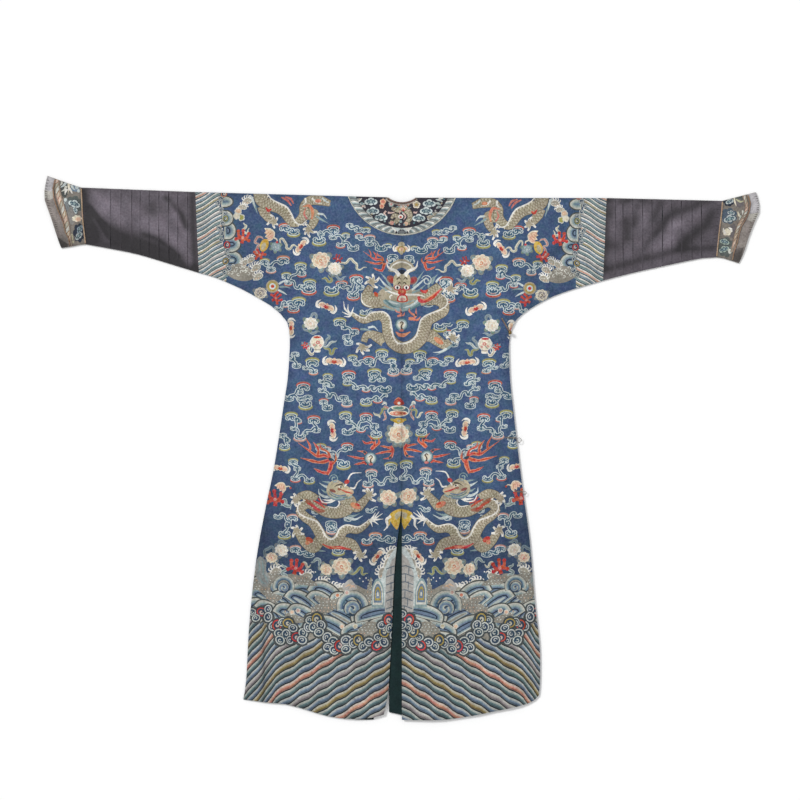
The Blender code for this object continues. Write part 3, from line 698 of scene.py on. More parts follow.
def thread_group():
    group, given, result = new_group("silk_threads", THREAD_INPUTS, THREAD_OUTPUTS)
    place = wire(group, "ShaderNodeTexCoord").outputs["Object"]
    parts = wire(group, "ShaderNodeSeparateXYZ", place)
    x, y = parts.outputs[0], parts.outputs[1]
    dye, grain, floss, gold, thread, depth = (given.outputs[i] for i in range(6))
    times, plus, minus, over, sine, cosine = (functools.partial(math_node, group, operation)
        for operation in ("MULTIPLY", "ADD", "SUBTRACT", "DIVIDE", "SINE", "COSINE"))
    angle = times(grain, math.pi)
    across = plus(times(x, sine(angle)), times(y, cosine(angle)))
    along = minus(times(x, cosine(angle)), times(y, sine(angle)))
    uneven = wire(group, "ShaderNodeTexNoise", place, None, 260.0, 2.0).outputs[0]
    shifted = plus(over(across, thread), times(uneven, 1.1))
    stitch = sine(times(shifted, 2 * math.pi))
    couch = sine(times(along, 2 * math.pi / COUCH_PITCH))
    weave = sine(times(x, 2 * math.pi / WARP_PITCH))
    rib = sine(times(y, 2 * math.pi / WEFT_PITCH))
    ground = times(plus(weave, rib), 0.25)
    laid = plus(times(stitch, 0.8), times(couch, times(gold, 0.5)))
    height = wire(group, "ShaderNodeMix", floss, None, ground, laid).outputs[0]
    worn = wire(group, "ShaderNodeTexNoise", place, None, 30.0, 4.0, 0.62).outputs[0]
    fine = wire(group, "ShaderNodeTexNoise", place, None, 190.0, 4.0, 0.7).outputs[0]
    tone = plus(times(minus(worn, 0.5), 0.8), times(minus(fine, 0.5), 1.5))
    # painted shade and highlight: the dye is lighter on the raised threads and darker in the hollows between
    # them
    tone = plus(tone, times(height, times(depth, 0.16)))
    bright = plus(1.0, tone)
    scaled = wire(group, "ShaderNodeVectorMath", dye, operation="SCALE")
    group.links.new(bright, scaled.inputs["Scale"])
    faded = wire(group, "ShaderNodeTexNoise", place, None, 55.0, 3.0, 0.6).outputs[0]
    hue = plus(0.5, times(minus(faded, 0.5), 0.09))
    strength = plus(1.0, times(minus(fine, 0.5), -0.8))
    varied = wire(group, "ShaderNodeHueSaturation", hue, strength)
    group.links.new(scaled.outputs[0], varied.inputs["Color"])
    group.links.new(varied.outputs[0], result.inputs[0])
    shine = minus(0.62, times(floss, 0.10))
    shine = minus(shine, times(gold, 0.08))
    shine = plus(shine, times(minus(worn, 0.5), 0.2))
    group.links.new(shine, result.inputs[1])
    group.links.new(times(height, depth), result.inputs[2])
    return group


THREADS = thread_group()


def silk(name, sheen=0.05, thread=0.0011, depth=0.5, bump=0.0004, gloss=0.25):
    """Silk that takes its dye and its stitches from the panel's corners."""
    material = bpy.data.materials.new(name)
    material.use_nodes = True
    tree = material.node_tree
    shader = tree.nodes["Principled BSDF"]
    dye = wire(tree, "ShaderNodeAttribute", attribute_name="silk_colour", attribute_type="GEOMETRY")
    stitch = wire(tree, "ShaderNodeAttribute", attribute_name="stitch", attribute_type="GEOMETRY")
    split = wire(tree, "ShaderNodeSeparateColor", stitch.outputs["Color"])
    threads = wire(tree, "ShaderNodeGroup")
    threads.node_tree = THREADS
    tree.links.new(dye.outputs["Color"], threads.inputs[0])
    for i in range(3):
        tree.links.new(split.outputs[i], threads.inputs[1 + i])
    threads.inputs["Thread"].default_value = thread
    threads.inputs["Depth"].default_value = depth
    bumped = wire(tree, "ShaderNodeBump")
    bumped.inputs["Strength"].default_value = 0.6
    bumped.inputs["Distance"].default_value = bump
    tree.links.new(threads.outputs["Height"], bumped.inputs["Height"])
    tree.links.new(threads.outputs["Color"], shader.inputs["Base Color"])
    tree.links.new(threads.outputs["Roughness"], shader.inputs["Roughness"])
    tree.links.new(bumped.outputs["Normal"], shader.inputs["Normal"])
    shader.inputs["Specular IOR Level"].default_value = gloss
    shader.inputs["Sheen Weight"].default_value = sheen
    shader.inputs["Sheen Roughness"].default_value = 0.4
    return material


SILK = silk("embroidered silk")
LINING = silk("plain green lining", sheen=0.0, depth=0.3, gloss=0.15)
SATIN = silk("dark tucked silk", sheen=0.12, depth=0.8, gloss=0.4)
BROCADE = silk("cuff brocade", sheen=0.1, thread=0.0016, depth=0.9, gloss=0.3)
TWISTED = silk("twisted cord", sheen=0.05, thread=0.0026, depth=1.4, bump=0.0006, gloss=0.3)
print("silks:", ", ".join(m.name for m in (SILK, LINING, SATIN, BROCADE, TWISTED)))

# %% [markdown]
# ## The motifs
#
# A dragon robe is sewn from a fixed stock of signs, and each is a small function here, drawn round its own
# middle in centimetres. Clouds come first because there are most of them: a chain of flattened heads, each
# with two curls and a bright rim on the side away from its stem, joined by wavy stems. All the rims of a
# chain are laid first, then all the pale silk, then all the teal, so the pieces run into each other.

# %% Clouds
RIMS = {"y": "olive", "r": "red", "p": "pink", "o": "salmon", "-": "pale"}
OUTLINE = 0.21           # of pale silk, left round the teal
CLOUD_CURL = np.array(
    [(0, 0.5), (0.5, 0.62), (0.98, 0.3), (1.05, -0.35), (0.5, -0.8), (0.05, -0.45), (0.3, -0.1)])


def cloud_chain(work, text):
    """text holds the heads as x,drop,width,rim in millimetres, joined in order."""
    heads = []
    for head in text.split():
        x, drop, width, rim = head.split(",")
        heads.append((float(x) / 10, float(drop) / 10, float(width) / 10, rim))
    places = np.array([head[:2] for head in heads], float)
    sides = []
    for i, (x, y, width, rim) in enumerate(heads):
        near = [places[j][1] for j in (i - 1, i + 1) if 0 <= j < len(heads)]
        sides.append(1 if not near or y >= np.mean(near) - 0.2 else -1)
    for (x, y, w, rim), side in zip(heads, sides):
        if rim != "-":
            work.fill(oval(x, y + side * 0.08 * w, 0.5 * w, 0.25 * w), RIMS[rim] + "-+")
            work.fill(oval(x, y + side * 0.05 * w, 0.47 * w, 0.22 * w), RIMS[rim])
    lines = []
    for (a, b), sa, sb in zip(zip(places, places[1:]), sides, sides[1:]):
        run = b - a
        dip = min(1.0, 0.25 * np.hypot(*run))
        lines.append(winding([a, a + (0.2 * run[0], -sa * dip), b - (0.2 * run[0], sb * dip), b], 0.34, 1.5))
    if len(heads) == 1:
        x, y, w, _ = heads[0]
        lines.append(winding([(x, y), (x + 0.75 * w, y - 0.3 * w)], 0.3, 1.2))
    for reach, dye in ((0.0, "pale"), (OUTLINE, "cloud")):
        for line in lines:
            work.fill(band(line, np.array([1.0, 0.8, 0.74, 0.8, 1.0]) - 2 * reach), dye)
        for (x, y, w, rim), side in zip(heads, sides):
            work.fill(oval(x, y, 0.43 * w - reach, 0.19 * w - reach), dye)
            for lean in (-1, 1):
                lobe = 0.15 * w + 0.06 - reach
                if lobe > 0.06:
                    work.fill(oval(x + lean * 0.25 * w, y - side * 0.17 * w, 1.15 * lobe, lobe, points=9),
                        dye)
    for (x, y, w, rim), side in zip(heads, sides):
        if w > 2.3:
            if w > 3.4 and rim != "-":
                work.fill(oval(x, y + side * 0.06 * w, 0.2 * w, 0.035 * w, points=6), RIMS[rim] + "+")
            for lean in (-1, 1):
                curl = curve(CLOUD_CURL * 0.185 * w, 2) * (lean, side)
                work.fill(
                    band(curl + (x + lean * 0.07 * w, y - side * 0.1 * w), [0.1, 0.17, 0.2, 0.17, 0.14]),
                    "pale")


# %% Bats, peonies, ribbons
def bat(work, spot, wing="peach", heart="red"):
    """A bat with open wings, 5 cm across, whose white wing tips curl round its ends."""
    for lean in (-1, 1):
        tip = curve(
            np.array([(1.35, 0.75), (2.15, 0.75), (2.55, 0.1), (2.4, -0.65), (1.85, -1.2)]) * (lean, 1), 4)
        work.fill(spot.at(band(tip, [0.3, 0.62, 0.55, 0.1])), "white")
        lobe = curve([(0, -0.5), (0.6, -0.78), (1.3, -0.85), (2.0, -0.45), (2.1, 0.2), (1.75, 0.62),
                (1.3, 0.42), (0.95, 0.72), (0.5, 0.45), (0, 0.6)], 2)
        work.fill(spot.at(lobe * (lean, 1)), "ivory")
        work.fill(spot.at(lobe * (0.86 * lean, 0.72)), wing, 20 * lean)
        work.fill(spot.at(
                strip(np.array([(0.5, -0.4), (1.0, -0.1), (1.6, -0.3)]) * (lean, 1), [0.3, 0.22, 0.06], 3)),
            "rose+")
    work.fill(spot.at(oval(0, 0, 0.62, 0.5, points=10)), heart)
    work.fill(spot.at(band([(-0.85, 0.1), (0, 0.25), (0.85, 0.1)], [0.08, 0.3, 0.08])), "brick")
    work.fill(spot.at(oval(0, -0.62, 0.36, 0.34, points=7)), wing)


def peony(work, spot, dyes=("ivory", "peach", "salmon"), leaves="mist", leaf_turns=(150, 205, 330, 30, 90)):
    """A peony of radius 1 with its leaves."""
    for turn in leaf_turns:
        leaf = curve([(0.7, -0.3), (1.05, -0.42), (1.38, -0.2), (1.42, 0.1), (1.15, 0.3), (0.7, 0.3)], 2)
        work.fill(spot.at(Spot(0, 0, 1, turn).at(leaf)), leaves + "-+", turn)
        work.fill(spot.at(Spot(0, 0, 1, turn).at(leaf * (0.86, 0.5))), leaves, turn)
    outer, middle, heart = dyes
    work.fill(spot.at(scallop(0, 0, 1.08, 9, 0.14, 0.9)), outer)
    work.fill(spot.at(scallop(0, 0, 0.93, 9, 0.16, 0.9)), middle)
    for i in range(5):
        x, y = 0.47 * math.cos(i * 1.257 + 0.3), 0.4 * math.sin(i * 1.257 + 0.3)
        petal = Spot(x, y, 0.42, 90 + 72 * i + 17)
        work.fill(spot.at(petal.at(oval(0, 0, 1.1, 0.95, points=9))), outer)
        work.fill(spot.at(petal.at(oval(0, 0.12, 0.9, 0.72, points=8))), middle)
        work.fill(spot.at(petal.at(band([(-0.6, 0.1), (0, -0.35), (0.6, 0.1)], [0.1, 0.26, 0.1]))),
            heart + "+")
    work.fill(spot.at(scallop(0, 0.02, 0.36, 5, 0.2, points=3)), outer)
    work.fill(spot.at(band(spiral(0, 0.02, 0.24, 0.05, 40, 1.0, 8), 0.13)), heart)


def ribbon(work, points, dye, width, edge):
    """A floating ribbon that curls along the points, thin at its ends, with an edge and a darker fold."""
    line = winding(points, 0.5 * width, 1.3)
    work.fill(band(line, np.array([0.5, 1.5, 1.6, 1.4, 0.4]) * width), edge)
    work.fill(band(line, np.array([0.25, 1.0, 1.1, 0.95, 0.2]) * width), dye)
    work.fill(band(line + normals(line) * 0.12 * width, np.array([0.05, 0.35, 0.4, 0.3, 0.05]) * width),
        dye + "-+")


def coral(work, spot, dye="red"):
    """A small branching piece of coral."""
    for line in (
            [(0, 0.9), (0.05, 0.1), (-0.1, -0.9)], [(0, 0.4), (0.55, 0.0), (0.75, -0.6)],
            [(0, 0.2), (-0.6, -0.1), (-0.75, -0.7)], [(0.3, 0.15), (0.9, 0.35)], [(-0.3, 0.1), (-0.9, 0.45)]):
        work.fill(spot.at(strip(line, [0.5, 0.4, 0.3], 3)), dye)
        work.fill(spot.at(oval(*line[-1], 0.26, points=7)), dye)
    work.fill(spot.at(oval(0, 0.1, 0.22, points=6)), "pink")


# %% Flames, pearls and roundels
FLAMES = {
    "long": (
        ([(0, 0), (0.6, -1.2), (0.6, -2.6), (-0.4, -3.3), (-1.7, -3.2), (-3.2, -4.2), (-5.0, -5.5)], 0.62),
        ([(-1.6, -3.2), (-1.5, -4.4), (-2.4, -5.6)], 0.5),
        ([(0.5, -2.5), (-1.2, -2.1), (-2.8, -2.4), (-4.6, -2.9)], 0.55),
        ([(0.1, -0.2), (-1.2, -0.5), (-2.3, -1.1)], 0.5),
        ([(0.6, -2.2), (0.2, -3.8), (-1.0, -4.5), (-1.2, -5.4)], 0.42),
        ([(0.6, -1.6), (1.5, -2.5), (1.4, -3.7)], 0.42), ([(-3.0, -4.0), (-2.9, -4.9), (-3.6, -6.2)], 0.36)),
    "fork": (([(0, 0), (0.9, -0.8), (0.8, -1.9), (-0.3, -3.3)], 0.75),
        ([(0.3, -0.4), (1.9, -1.1), (2.0, -2.4)], 0.6), ([(0.8, -1.6), (-0.9, -1.5), (-1.7, -2.3)], 0.5)),
    "comb": (([(1.6, 1.5), (2.1, 0.2), (1.5, -1.2), (-0.2, -1.5)], 0.7),
        ([(1.9, 0.3), (0.2, 0.1), (-2.4, -0.5)], 0.55), ([(1.8, 0.9), (0.4, 1.3), (-0.9, 1.5)], 0.5)),
}


def flame(work, spot, kind="long", dye="red", glow="salmon"):
    for line, width in FLAMES[kind]:
        work.fill(spot.at(strip(line, np.array([0.9, 1.35, 0.75, 1.1, 0.5, 0.1]) * width)), glow)
    for line, width in FLAMES[kind]:
        work.fill(spot.at(strip(line, np.array([0.4, 0.75, 0.3, 0.55, 0.2, 0.05]) * width)), dye)
    work.fill(spot.at(oval(*FLAMES[kind][0][0][2], 0.42, 0.26, 30, points=8)), "sea-")


def pearl(work, spot):
    for radius, dye in ((1.75, "sea"), (1.5, "mist"), (1.15, "pale"), (0.85, "ivory")):
        work.fill(spot.at(oval(0, 0, radius, points=18)), dye)
    line = curve([(-0.35, -0.35), (0.05, -0.75), (0.5, -0.4), (0.1, 0.1), (-0.05, 0.7), (0.2, 1.3)], 4)
    work.fill(spot.at(band(line, [0.2, 0.34, 0.34, 0.5])), "brown")
    work.fill(spot.at(oval(0.05, 1.55, 0.62, 0.35, points=8)), "rose")


def roundel(work, spot):
    for radius, dye in ((1.0, "gold"), (0.8, "mustard"), (0.5, "pale"), (0.28, "red")):
        work.fill(spot.at(oval(0, 0, radius, points=14)), dye)


# %% Cranes, vase and the jewelled jar
def crane(work, spot):
    """A crane in flight, 4.5 cm across."""
    wing = curve([(-2.0, 0.2), (-1.3, -0.9), (-0.2, -1.3), (0.6, -0.8), (1.0, 0.2), (0.5, 1.3), (0.2, 0.6),
            (-0.3, 1.0), (-0.6, 0.4), (-1.1, 0.7), (-1.3, 0.2), (-2.0, 0.2)], 3)
    work.fill(spot.at(wing * 1.1), "ivory")
    work.fill(spot.at(wing * 0.92), "peach", 30)
    for i in range(4):
        work.fill(spot.at(strip([(-1.5 + 0.55 * i, -0.2 - 0.15 * i), (-1.2 + 0.5 * i, 0.5)], 0.12, 3)),
            "rose")
    work.fill(spot.at(strip([(0.7, -0.5), (1.5, -1.0), (2.1, -0.7)], [0.45, 0.3, 0.2])), "ivory")
    work.fill(spot.at(oval(2.1, -0.7, 0.3, points=8)), "red")


def vase(work, spot):
    """A flower vase, 4 cm high, on floating ribbons."""
    ribbon_lines = (
        ([(1.2, 0.3), (2.3, -0.4), (3.0, -1.6), (2.6, -2.4)], "grey blue"),
        ([(1.5, 0.6), (3.2, 0.4), (4.0, -0.6), (5.2, -0.8)], "pale"),
        ([(1.6, 0.9), (2.9, 1.4), (3.6, 2.6), (4.6, 1.6), (5.4, 1.3)], "olive"),
        ([(-1.4, 0.6), (-2.6, 1.9), (-1.6, 2.6), (-0.9, 2.1)], "ivory"),
        ([(-1.6, 0.0), (-2.9, 0.4), (-4.1, -0.5)], "grey blue"),
    )
    for line, dye in ribbon_lines:
        ribbon(work, spot.at(line), dye, 0.5, "white" if dye == "ivory" else "mist")
    coral(work, Spot(*spot.at([(-3.2, 0.6)])[0], 0.9, 40), "red")
    shape = curve([(-0.5, -2.1), (-1.3, -1.6), (-1.75, -0.5), (-1.5, 0.6), (-0.8, 1.3), (-0.75, 2.1),
            (0.75, 2.1), (0.8, 1.3), (1.5, 0.6), (1.75, -0.5), (1.3, -1.6), (0.5, -2.1)], 3)
    work.fill(spot.at(shape * 1.06), "white")
    work.fill(spot.at(shape * 0.9), "ivory", 90)
    work.fill(spot.at(oval(0, -1.75, 1.05, 0.32)), "red")
    work.fill(spot.at(strip([(-0.9, 1.0), (-0.2, 0.5), (0.1, -0.3), (0.7, -0.9)], [0.1, 0.22, 0.1])), "leaf")
    for x, y, size in ((0.15, -0.35, 0.62), (-0.75, 0.3, 0.4), (0.85, 0.45, 0.36)):
        work.fill(spot.at(scallop(x, y, size, 5, 0.25, 0.9)), "rose")
        work.fill(spot.at(oval(x, y, 0.35 * size, points=6)), "ivory")
    work.fill(spot.at(band([(-0.8, 1.5), (0.8, 1.5)], 0.2)), "mauve")


def jewelled_jar(work, spot):
    """The emblem of the back: a jar with a flaming jewel, over a peony."""
    for lean in (-1, 1):
        for line, dye in (
                ([(2.3, 0.1), (3.6, -1.2), (4.3, -0.4)], "rose"),
                ([(3.1, -0.3), (4.4, -0.2), (4.9, 1.9)], "olive"),
                ([(4.9, 1.9), (5.6, 1.2), (6.6, 0.4)], "ivory"),
                ([(3.6, 0.0), (3.5, 1.6), (4.1, 2.6)], "pink"),
                ([(3.2, -1.4), (3.9, -2.2), (4.4, -1.6)], "white")):
            ribbon(work, spot.at(np.array(line) * (lean, 1)), dye, 0.45, "mist")
    peony(work, Spot(*spot.at([(0.1, 6.2)])[0], 2.6), leaf_turns=(0, 40, 80, 110, 150, 180, 215, 325))
    work.fill(spot.at([(-1.0, 3.0), (1.0, 3.0), (1.5, 4.2), (-1.5, 4.2)]), "white")
    work.fill(spot.at(band([(-2.1, 2.3), (0, 2.9), (2.1, 2.3)], [0.5, 1.3, 0.5])), "olive")
    work.fill(spot.at(oval(0.1, 2.65, 1.5, 0.75)), "yellow")
    work.fill(spot.at(oval(0.1, 2.75, 0.5, 0.4, points=8)), "mustard+")
    for x, y, rx, ry, dye in (
            (0, 0.1, 3.0, 1.55, "pale"), (0, 0.05, 2.7, 1.3, "sea"), (0, 0.65, 2.55, 0.75, "ivory"),
            (0, 0.75, 2.3, 0.6, "salmon"), (0, -0.75, 1.9, 0.62, "ivory"), (0, -0.7, 1.5, 0.42, "leaf")):
        work.fill(spot.at(oval(x, y, rx, ry, points=18)), dye)
    for x in (-1.6, -0.5, 0.6, 1.6):
        work.fill(spot.at(oval(x, 0.7, 0.35, 0.3, points=7)), "brick" if x > 0 else "peach")
    jewel = [(-1.4, -1.7), (-1.1, -2.6), (0, -3.6), (1.2, -2.7), (1.5, -1.7), (0, -1.3), (-1.4, -1.7)]
    work.fill(spot.at(curve(jewel, 3)), "brick")
    work.fill(spot.at(oval(0.1, -2.2, 0.85, 0.75)), "red")
    work.fill(spot.at(oval(0.15, -2.0, 0.4, 0.4, points=8)), "white")
    work.fill(spot.at(strip([(-0.9, -2.9), (0, -3.4), (0.9, -3.0)], [0.1, 0.3, 0.1], 3)), "salmon")

# %% [markdown]
# ## Dragons
#
# A dragon's body is a band of gold thread that swells and tapers along one long curve, crossed by rows of
# small scales, with a white spine of short spikes along one edge. Legs are shorter bands of the same work,
# and each ends in a paw of five white talons.

# %% Body, spine, legs and claws
def scaled_body(work, points, widths, dye="gold", pitch=0.8, across=0.66):
    """Gold work along a curve. widths in centimetres are spread evenly along it."""
    line = curve(points, 5)
    widths = np.asarray(widths, float)
    work.fill(band(line, widths + 0.24), "old gold-")
    work.fill(band(line, widths), dye, 45)
    along = distances(line)
    side = normals(line)
    for s in np.arange(pitch, along[-1] - 0.2, pitch):
        width = np.interp(s / along[-1], np.linspace(0, 1, len(widths)), widths)
        rows = int(width / across)
        for row in range(rows):
            step = s + 0.5 * pitch * (row % 2)
            at = np.array([np.interp(step, along, line[:, 0]), np.interp(step, along, line[:, 1])])
            n = np.array([np.interp(step, along, side[:, 0]), np.interp(step, along, side[:, 1])])
            at = at + n * ((row + 0.5) / rows - 0.5) * width * 0.95
            t, r = np.array([n[1], -n[0]]), 0.44 * width / rows
            work.fill([at - r * n - 0.1 * t, at - 0.5 * r * n + 0.26 * t, at + 0.5 * r * n + 0.26 * t,
                    at + r * n - 0.1 * t, at + 0.1 * t], "old gold")
            work.fill([at - 0.55 * r * n - 0.34 * t, at + 0.55 * r * n - 0.34 * t, at + 0.04 * t],
                "bright gold+")


SPIKE_PITCH = 1.15       # from one spike of the spine to the next


def spine(work, points, width=0.42, spike=0.75, lean=1):
    """A white edge with short spikes on one side of it."""
    line = curve(points, 6)
    along = distances(line)
    side = normals(line) * lean
    for s in np.arange(SPIKE_PITCH / 2, along[-1], SPIKE_PITCH):
        i = int(np.searchsorted(along, s)) - 1
        at, n = line[i], side[i]
        t = np.array([n[1], -n[0]]) * lean
        work.fill(np.array([at - t * 0.3, at + t * 0.3, at + n * spike + t * 0.25]), "ivory")
    work.fill(band(line, [width * 0.6, width, width, width * 0.5]), "white")


def paw(work, centre, tips, size=1.0):
    """A paw with a talon to each tip."""
    centre = np.asarray(centre, float)
    for tip in tips:
        tip = np.asarray(tip, float)
        run = tip - centre
        bend = np.array([-run[1], run[0]]) * 0.18
        line = curve([centre, centre + 0.5 * run + bend, tip], 4)
        work.fill(band(line, np.array([0.95, 0.7, 0.5]) * size), "white")
        work.fill(band(line[:6], np.array([0.8, 0.6, 0.35]) * size), "gold")
    work.fill(oval(*centre, 0.85 * size, 0.75 * size), "gold")


def streaks(work, starts_and_ends, dyes=("mist", "pale"), width=0.38):
    """Tapering tufts of hair."""
    for i, line in enumerate(starts_and_ends):
        work.fill(strip(line, np.array([0.9, 1.0, 0.6, 0.1]) * width), dyes[i % len(dyes)])


# %% The facing dragon of the upper back
def facing_dragon(work):
    tail = marked("-132,311 -103,327 -77,317 -55,314 -41,330 -38,357 -26,384 -2,399 24,396 49,376 61,347 "
            "70,327 90,315 111,302 110,282 91,269 66,269")
    hind_left = marked("-47,380 -66,371 -81,364 -95,368 -101,384")
    hind_right = marked("59,366 78,368 94,380 114,392 128,381")
    scaled_body(work, hind_left, [3.3, 2.6, 2.0, 1.7, 1.5])
    scaled_body(work, hind_right, [3.2, 3.2, 2.8, 2.2, 1.6])
    work.fill(oval(9.8, 38.1, 1.5, 0.7, 35), "salmon")
    work.fill(oval(-5.3, 38.1, 0.8, 0.55, 20), "mustard+")
    streaks(work, all_marked("134,392 115,407 91,419 | 120,402 102,411 83,412 | -111,350 -95,351 -79,356 | "
                "-90,346 -74,344 -63,355"), width=0.6)
    scaled_body(work, tail,
        [0.8, 1.5, 2.2, 2.35, 2.5, 2.6, 2.9, 3.0, 3.2, 3.3, 3.0, 2.7, 2.6, 2.5, 2.7, 3.3, 3.6])
    spine(work, marked("-132,305 -102,320 -82,307 -63,304 -47,305 -33,318 -27,344 -23,368 -13,386 2,389 "
                "22,383 38,368 45,347 51,326 64,314 83,306 104,298 120,285 119,269 104,256"), lean=1)
    for tip, bow in (
            ((-15.5, 27.6), -0.6), ((-14.3, 28.3), -0.4), ((-12.8, 29.2), -0.1), ((-15.9, 30.4), 0.3),
            ((-15.4, 31.6), 0.4)):
        root = np.array((-13.5, 31.1))
        middle = (root + tip) / 2 + (bow, 0.35)
        work.fill(strip([root, middle, tip], [0.55, 0.4, 0.1], 5), "white")
    # The mass of mane, beard and shoulders behind the face.
    work.fill(curve(marked("-105,265 -106,277 -94,288 -69,293 -39,297 -15,302 5,302 27,296 46,287 62,275 "
                    "59,257 38,246 1,241 -37,237 -55,245 -66,256 -82,251 -95,250 -105,265"), 4), "gold", 30)
    work.fill(curve(marked("-69,286 -39,298 -2,304 32,295 54,281 32,273 1,280 -31,273 -58,274 -69,286"), 4),
        "mist", 0)
    streaks(work, all_marked("-45,272 -26,288 -5,293 | 43,273 24,288 3,293 | -55,279 -34,293 -13,299 | "
                "51,281 32,293 11,299 | -34,275 -18,282 -5,283 | 32,277 19,283 6,284"),
        ("teal", "pale", "gold"), 0.55)
    streaks(work, all_marked("-29,238 -41,218 -57,200 | -26,246 -47,230 -62,209 | -29,254 -47,243 -64,231 | "
                "30,238 43,217 59,195 | 27,246 48,228 66,211 | 27,254 48,245 64,231"),
        ("mist", "pale", "mist"), 0.62)
    fore_left = marked("-50,274 -71,279 -93,274 -92,256 -82,236")
    fore_right = marked("46,275 67,265 85,252 102,236")
    scaled_body(work, fore_left, [2.9, 3.0, 3.0, 2.4, 1.7])
    scaled_body(work, fore_right, [3.0, 3.2, 3.2, 2.4])
    spine(work, marked("-107,254 -107,274 -97,286 -82,291"), 0.28, 0.3, lean=-1)
    work.fill(strip(marked("44,263 49,275 64,275 85,264 106,242"), [0.7, 0.95, 0.85, 0.75, 0.3], 5), "red")
    work.fill(strip(marked("47,268 61,272 80,261 99,246"), [0.2, 0.4, 0.3, 0.15], 5), "salmon")
    work.fill(curve(marked("47,242 58,247 71,245 64,255 52,252 47,242"), 4), "red")
    work.fill(curve(marked("-74,249 -64,255 -64,264 -73,261 -74,249"), 4), "red")
    streaks(work, all_marked("80,230 86,215 95,205 | 91,226 98,216 108,209 | 70,240 75,222 86,210"),
        ("mist", "pale"), 0.6)
    work.fill(band(spiral(6.7, 22.1, 1.5, 0.3, 200, 1.5), [0.2, 0.34]), "pale")
    paw(work, (-8.0, 22.5), [(-9.6, 21.1), (-7.8, 20.3), (-6.0, 21.3), (-6.4, 24.0), (-9.9, 23.0)])
    paw(work, (12.9, 24.2), [(12.8, 22.1), (15.2, 23.5), (15.0, 25.6), (12.4, 25.9), (11.1, 25.1)])
    paw(work, (-10.5, 39.7), [(-12.1, 38.9), (-12.1, 41.3), (-10.1, 41.8), (-8.5, 40.7), (-8.0, 39.1)])
    paw(work, (13.6, 37.4), [(11.7, 37.3), (12.4, 35.9), (13.9, 35.8), (15.3, 36.5), (15.1, 38.6)])
    # The face: neck arch, horns, ears, brow, eyes, muzzle and whiskers.
    work.fill(strip(marked("-25,198 -21,184 -1,175 19,183 26,198"), [2.2, 2.2, 2.3, 2.2, 2.2], 5), "gold", 90)
    spine(work, marked("-29,196 -25,181 -1,171 23,180 30,194"), 0.36, 0.3, lean=1)
    for lean, ear in ((-1, (-2.8, 21.8)), (1, (2.9, 22.1))):
        work.fill(oval(*ear, 1.35, 0.95, 35 * -lean), "rose-")
        work.fill(oval(*ear, 0.8, 0.5, 35 * -lean), "brick")
    face = curve(marked("-20,206 -9,201 1,199 11,201 21,208 23,223 20,240 13,256 11,275 0,281 -10,275 "
                "-13,256 -21,241 -23,223 -20,206"), 4)
    work.fill(face, "bright gold", 90)
    work.fill(oval(0.1, 19.8, 1.0, 0.62), "navy")
    streaks(work,
        all_marked("-14,218 -7,213 -1,221 | 15,218 9,213 3,221 | -10,230 -5,226 -1,232 | 12,230 6,226 2,232"),
        ("old gold-",), 0.4)
    for x in (-1.17, 1.22):
        work.fill(oval(x, 24.0, 1.0, 0.8), "brick")
        work.fill(oval(x, 23.9, 0.72, 0.56), "white")
        work.fill(oval(x, 24.0, 0.3, 0.42, points=8), "navy")
    horn = [(0.45, 0.0), (1.1, -1.3), (2.3, -2.2), (2.6, -3.9)]
    whiskers = {
        -1: [(0.8, 0), (2.2, -0.3), (3.6, -0.9), (4.6, -0.7)],
        1: [(0.8, 0), (2.4, 0.1), (4.4, 0.1), (6.0, 0.6)],
    }
    for lean in (-1, 1):
        work.fill(Spot(0.1, 20.8, 1.0).at(strip(np.array(horn) * (lean * 1.6, 1), [1.1, 0.8, 0.5, 0.1])),
            "white")
        work.fill(
            Spot(0.1, 25.8, 1.0).at(strip(np.array(whiskers[lean]) * (lean, 1), [0.55, 0.5, 0.35, 0.1])),
            "white")
    work.fill(Spot(-3.4, 26.6, 1.0).at(strip([(0.9, -0.7), (0.2, -0.3), (0.4, 0.5)], [0.4, 0.3, 0.1])),
        "white")
    work.fill(curve(marked("-9,245 1,242 10,245 11,256 1,260 -10,256 -9,245"), 4), "red")
    work.fill(oval(0.1, 25.0, 0.55, 0.4, points=8), "salmon")
    work.fill(curve(marked("-10,260 1,258 12,260 16,275 2,279 -13,275 -10,260"), 4), "red")
    work.fill(curve(marked("-7,263 1,261 10,263 12,273 2,276 -9,273 -7,263"), 4), "ivory")
    work.fill(oval(0.2, 27.1, 0.75, 0.45), "pink")
    # The flaming pearl below it.
    pearl(work, Spot(-0.1, 33.8, 1.0))
    flame(work, Spot(-1.2, 31.6, 0.75, 20), "fork", "salmon", "rose")
    flame(work, Spot(1.8, 32.2, 1.05, 40), "fork", "salmon", "rose")
    work.fill(strip(marked("-16,357 -7,365 6,366 23,357"), [0.2, 0.9, 1.0, 0.2], 5), "salmon")


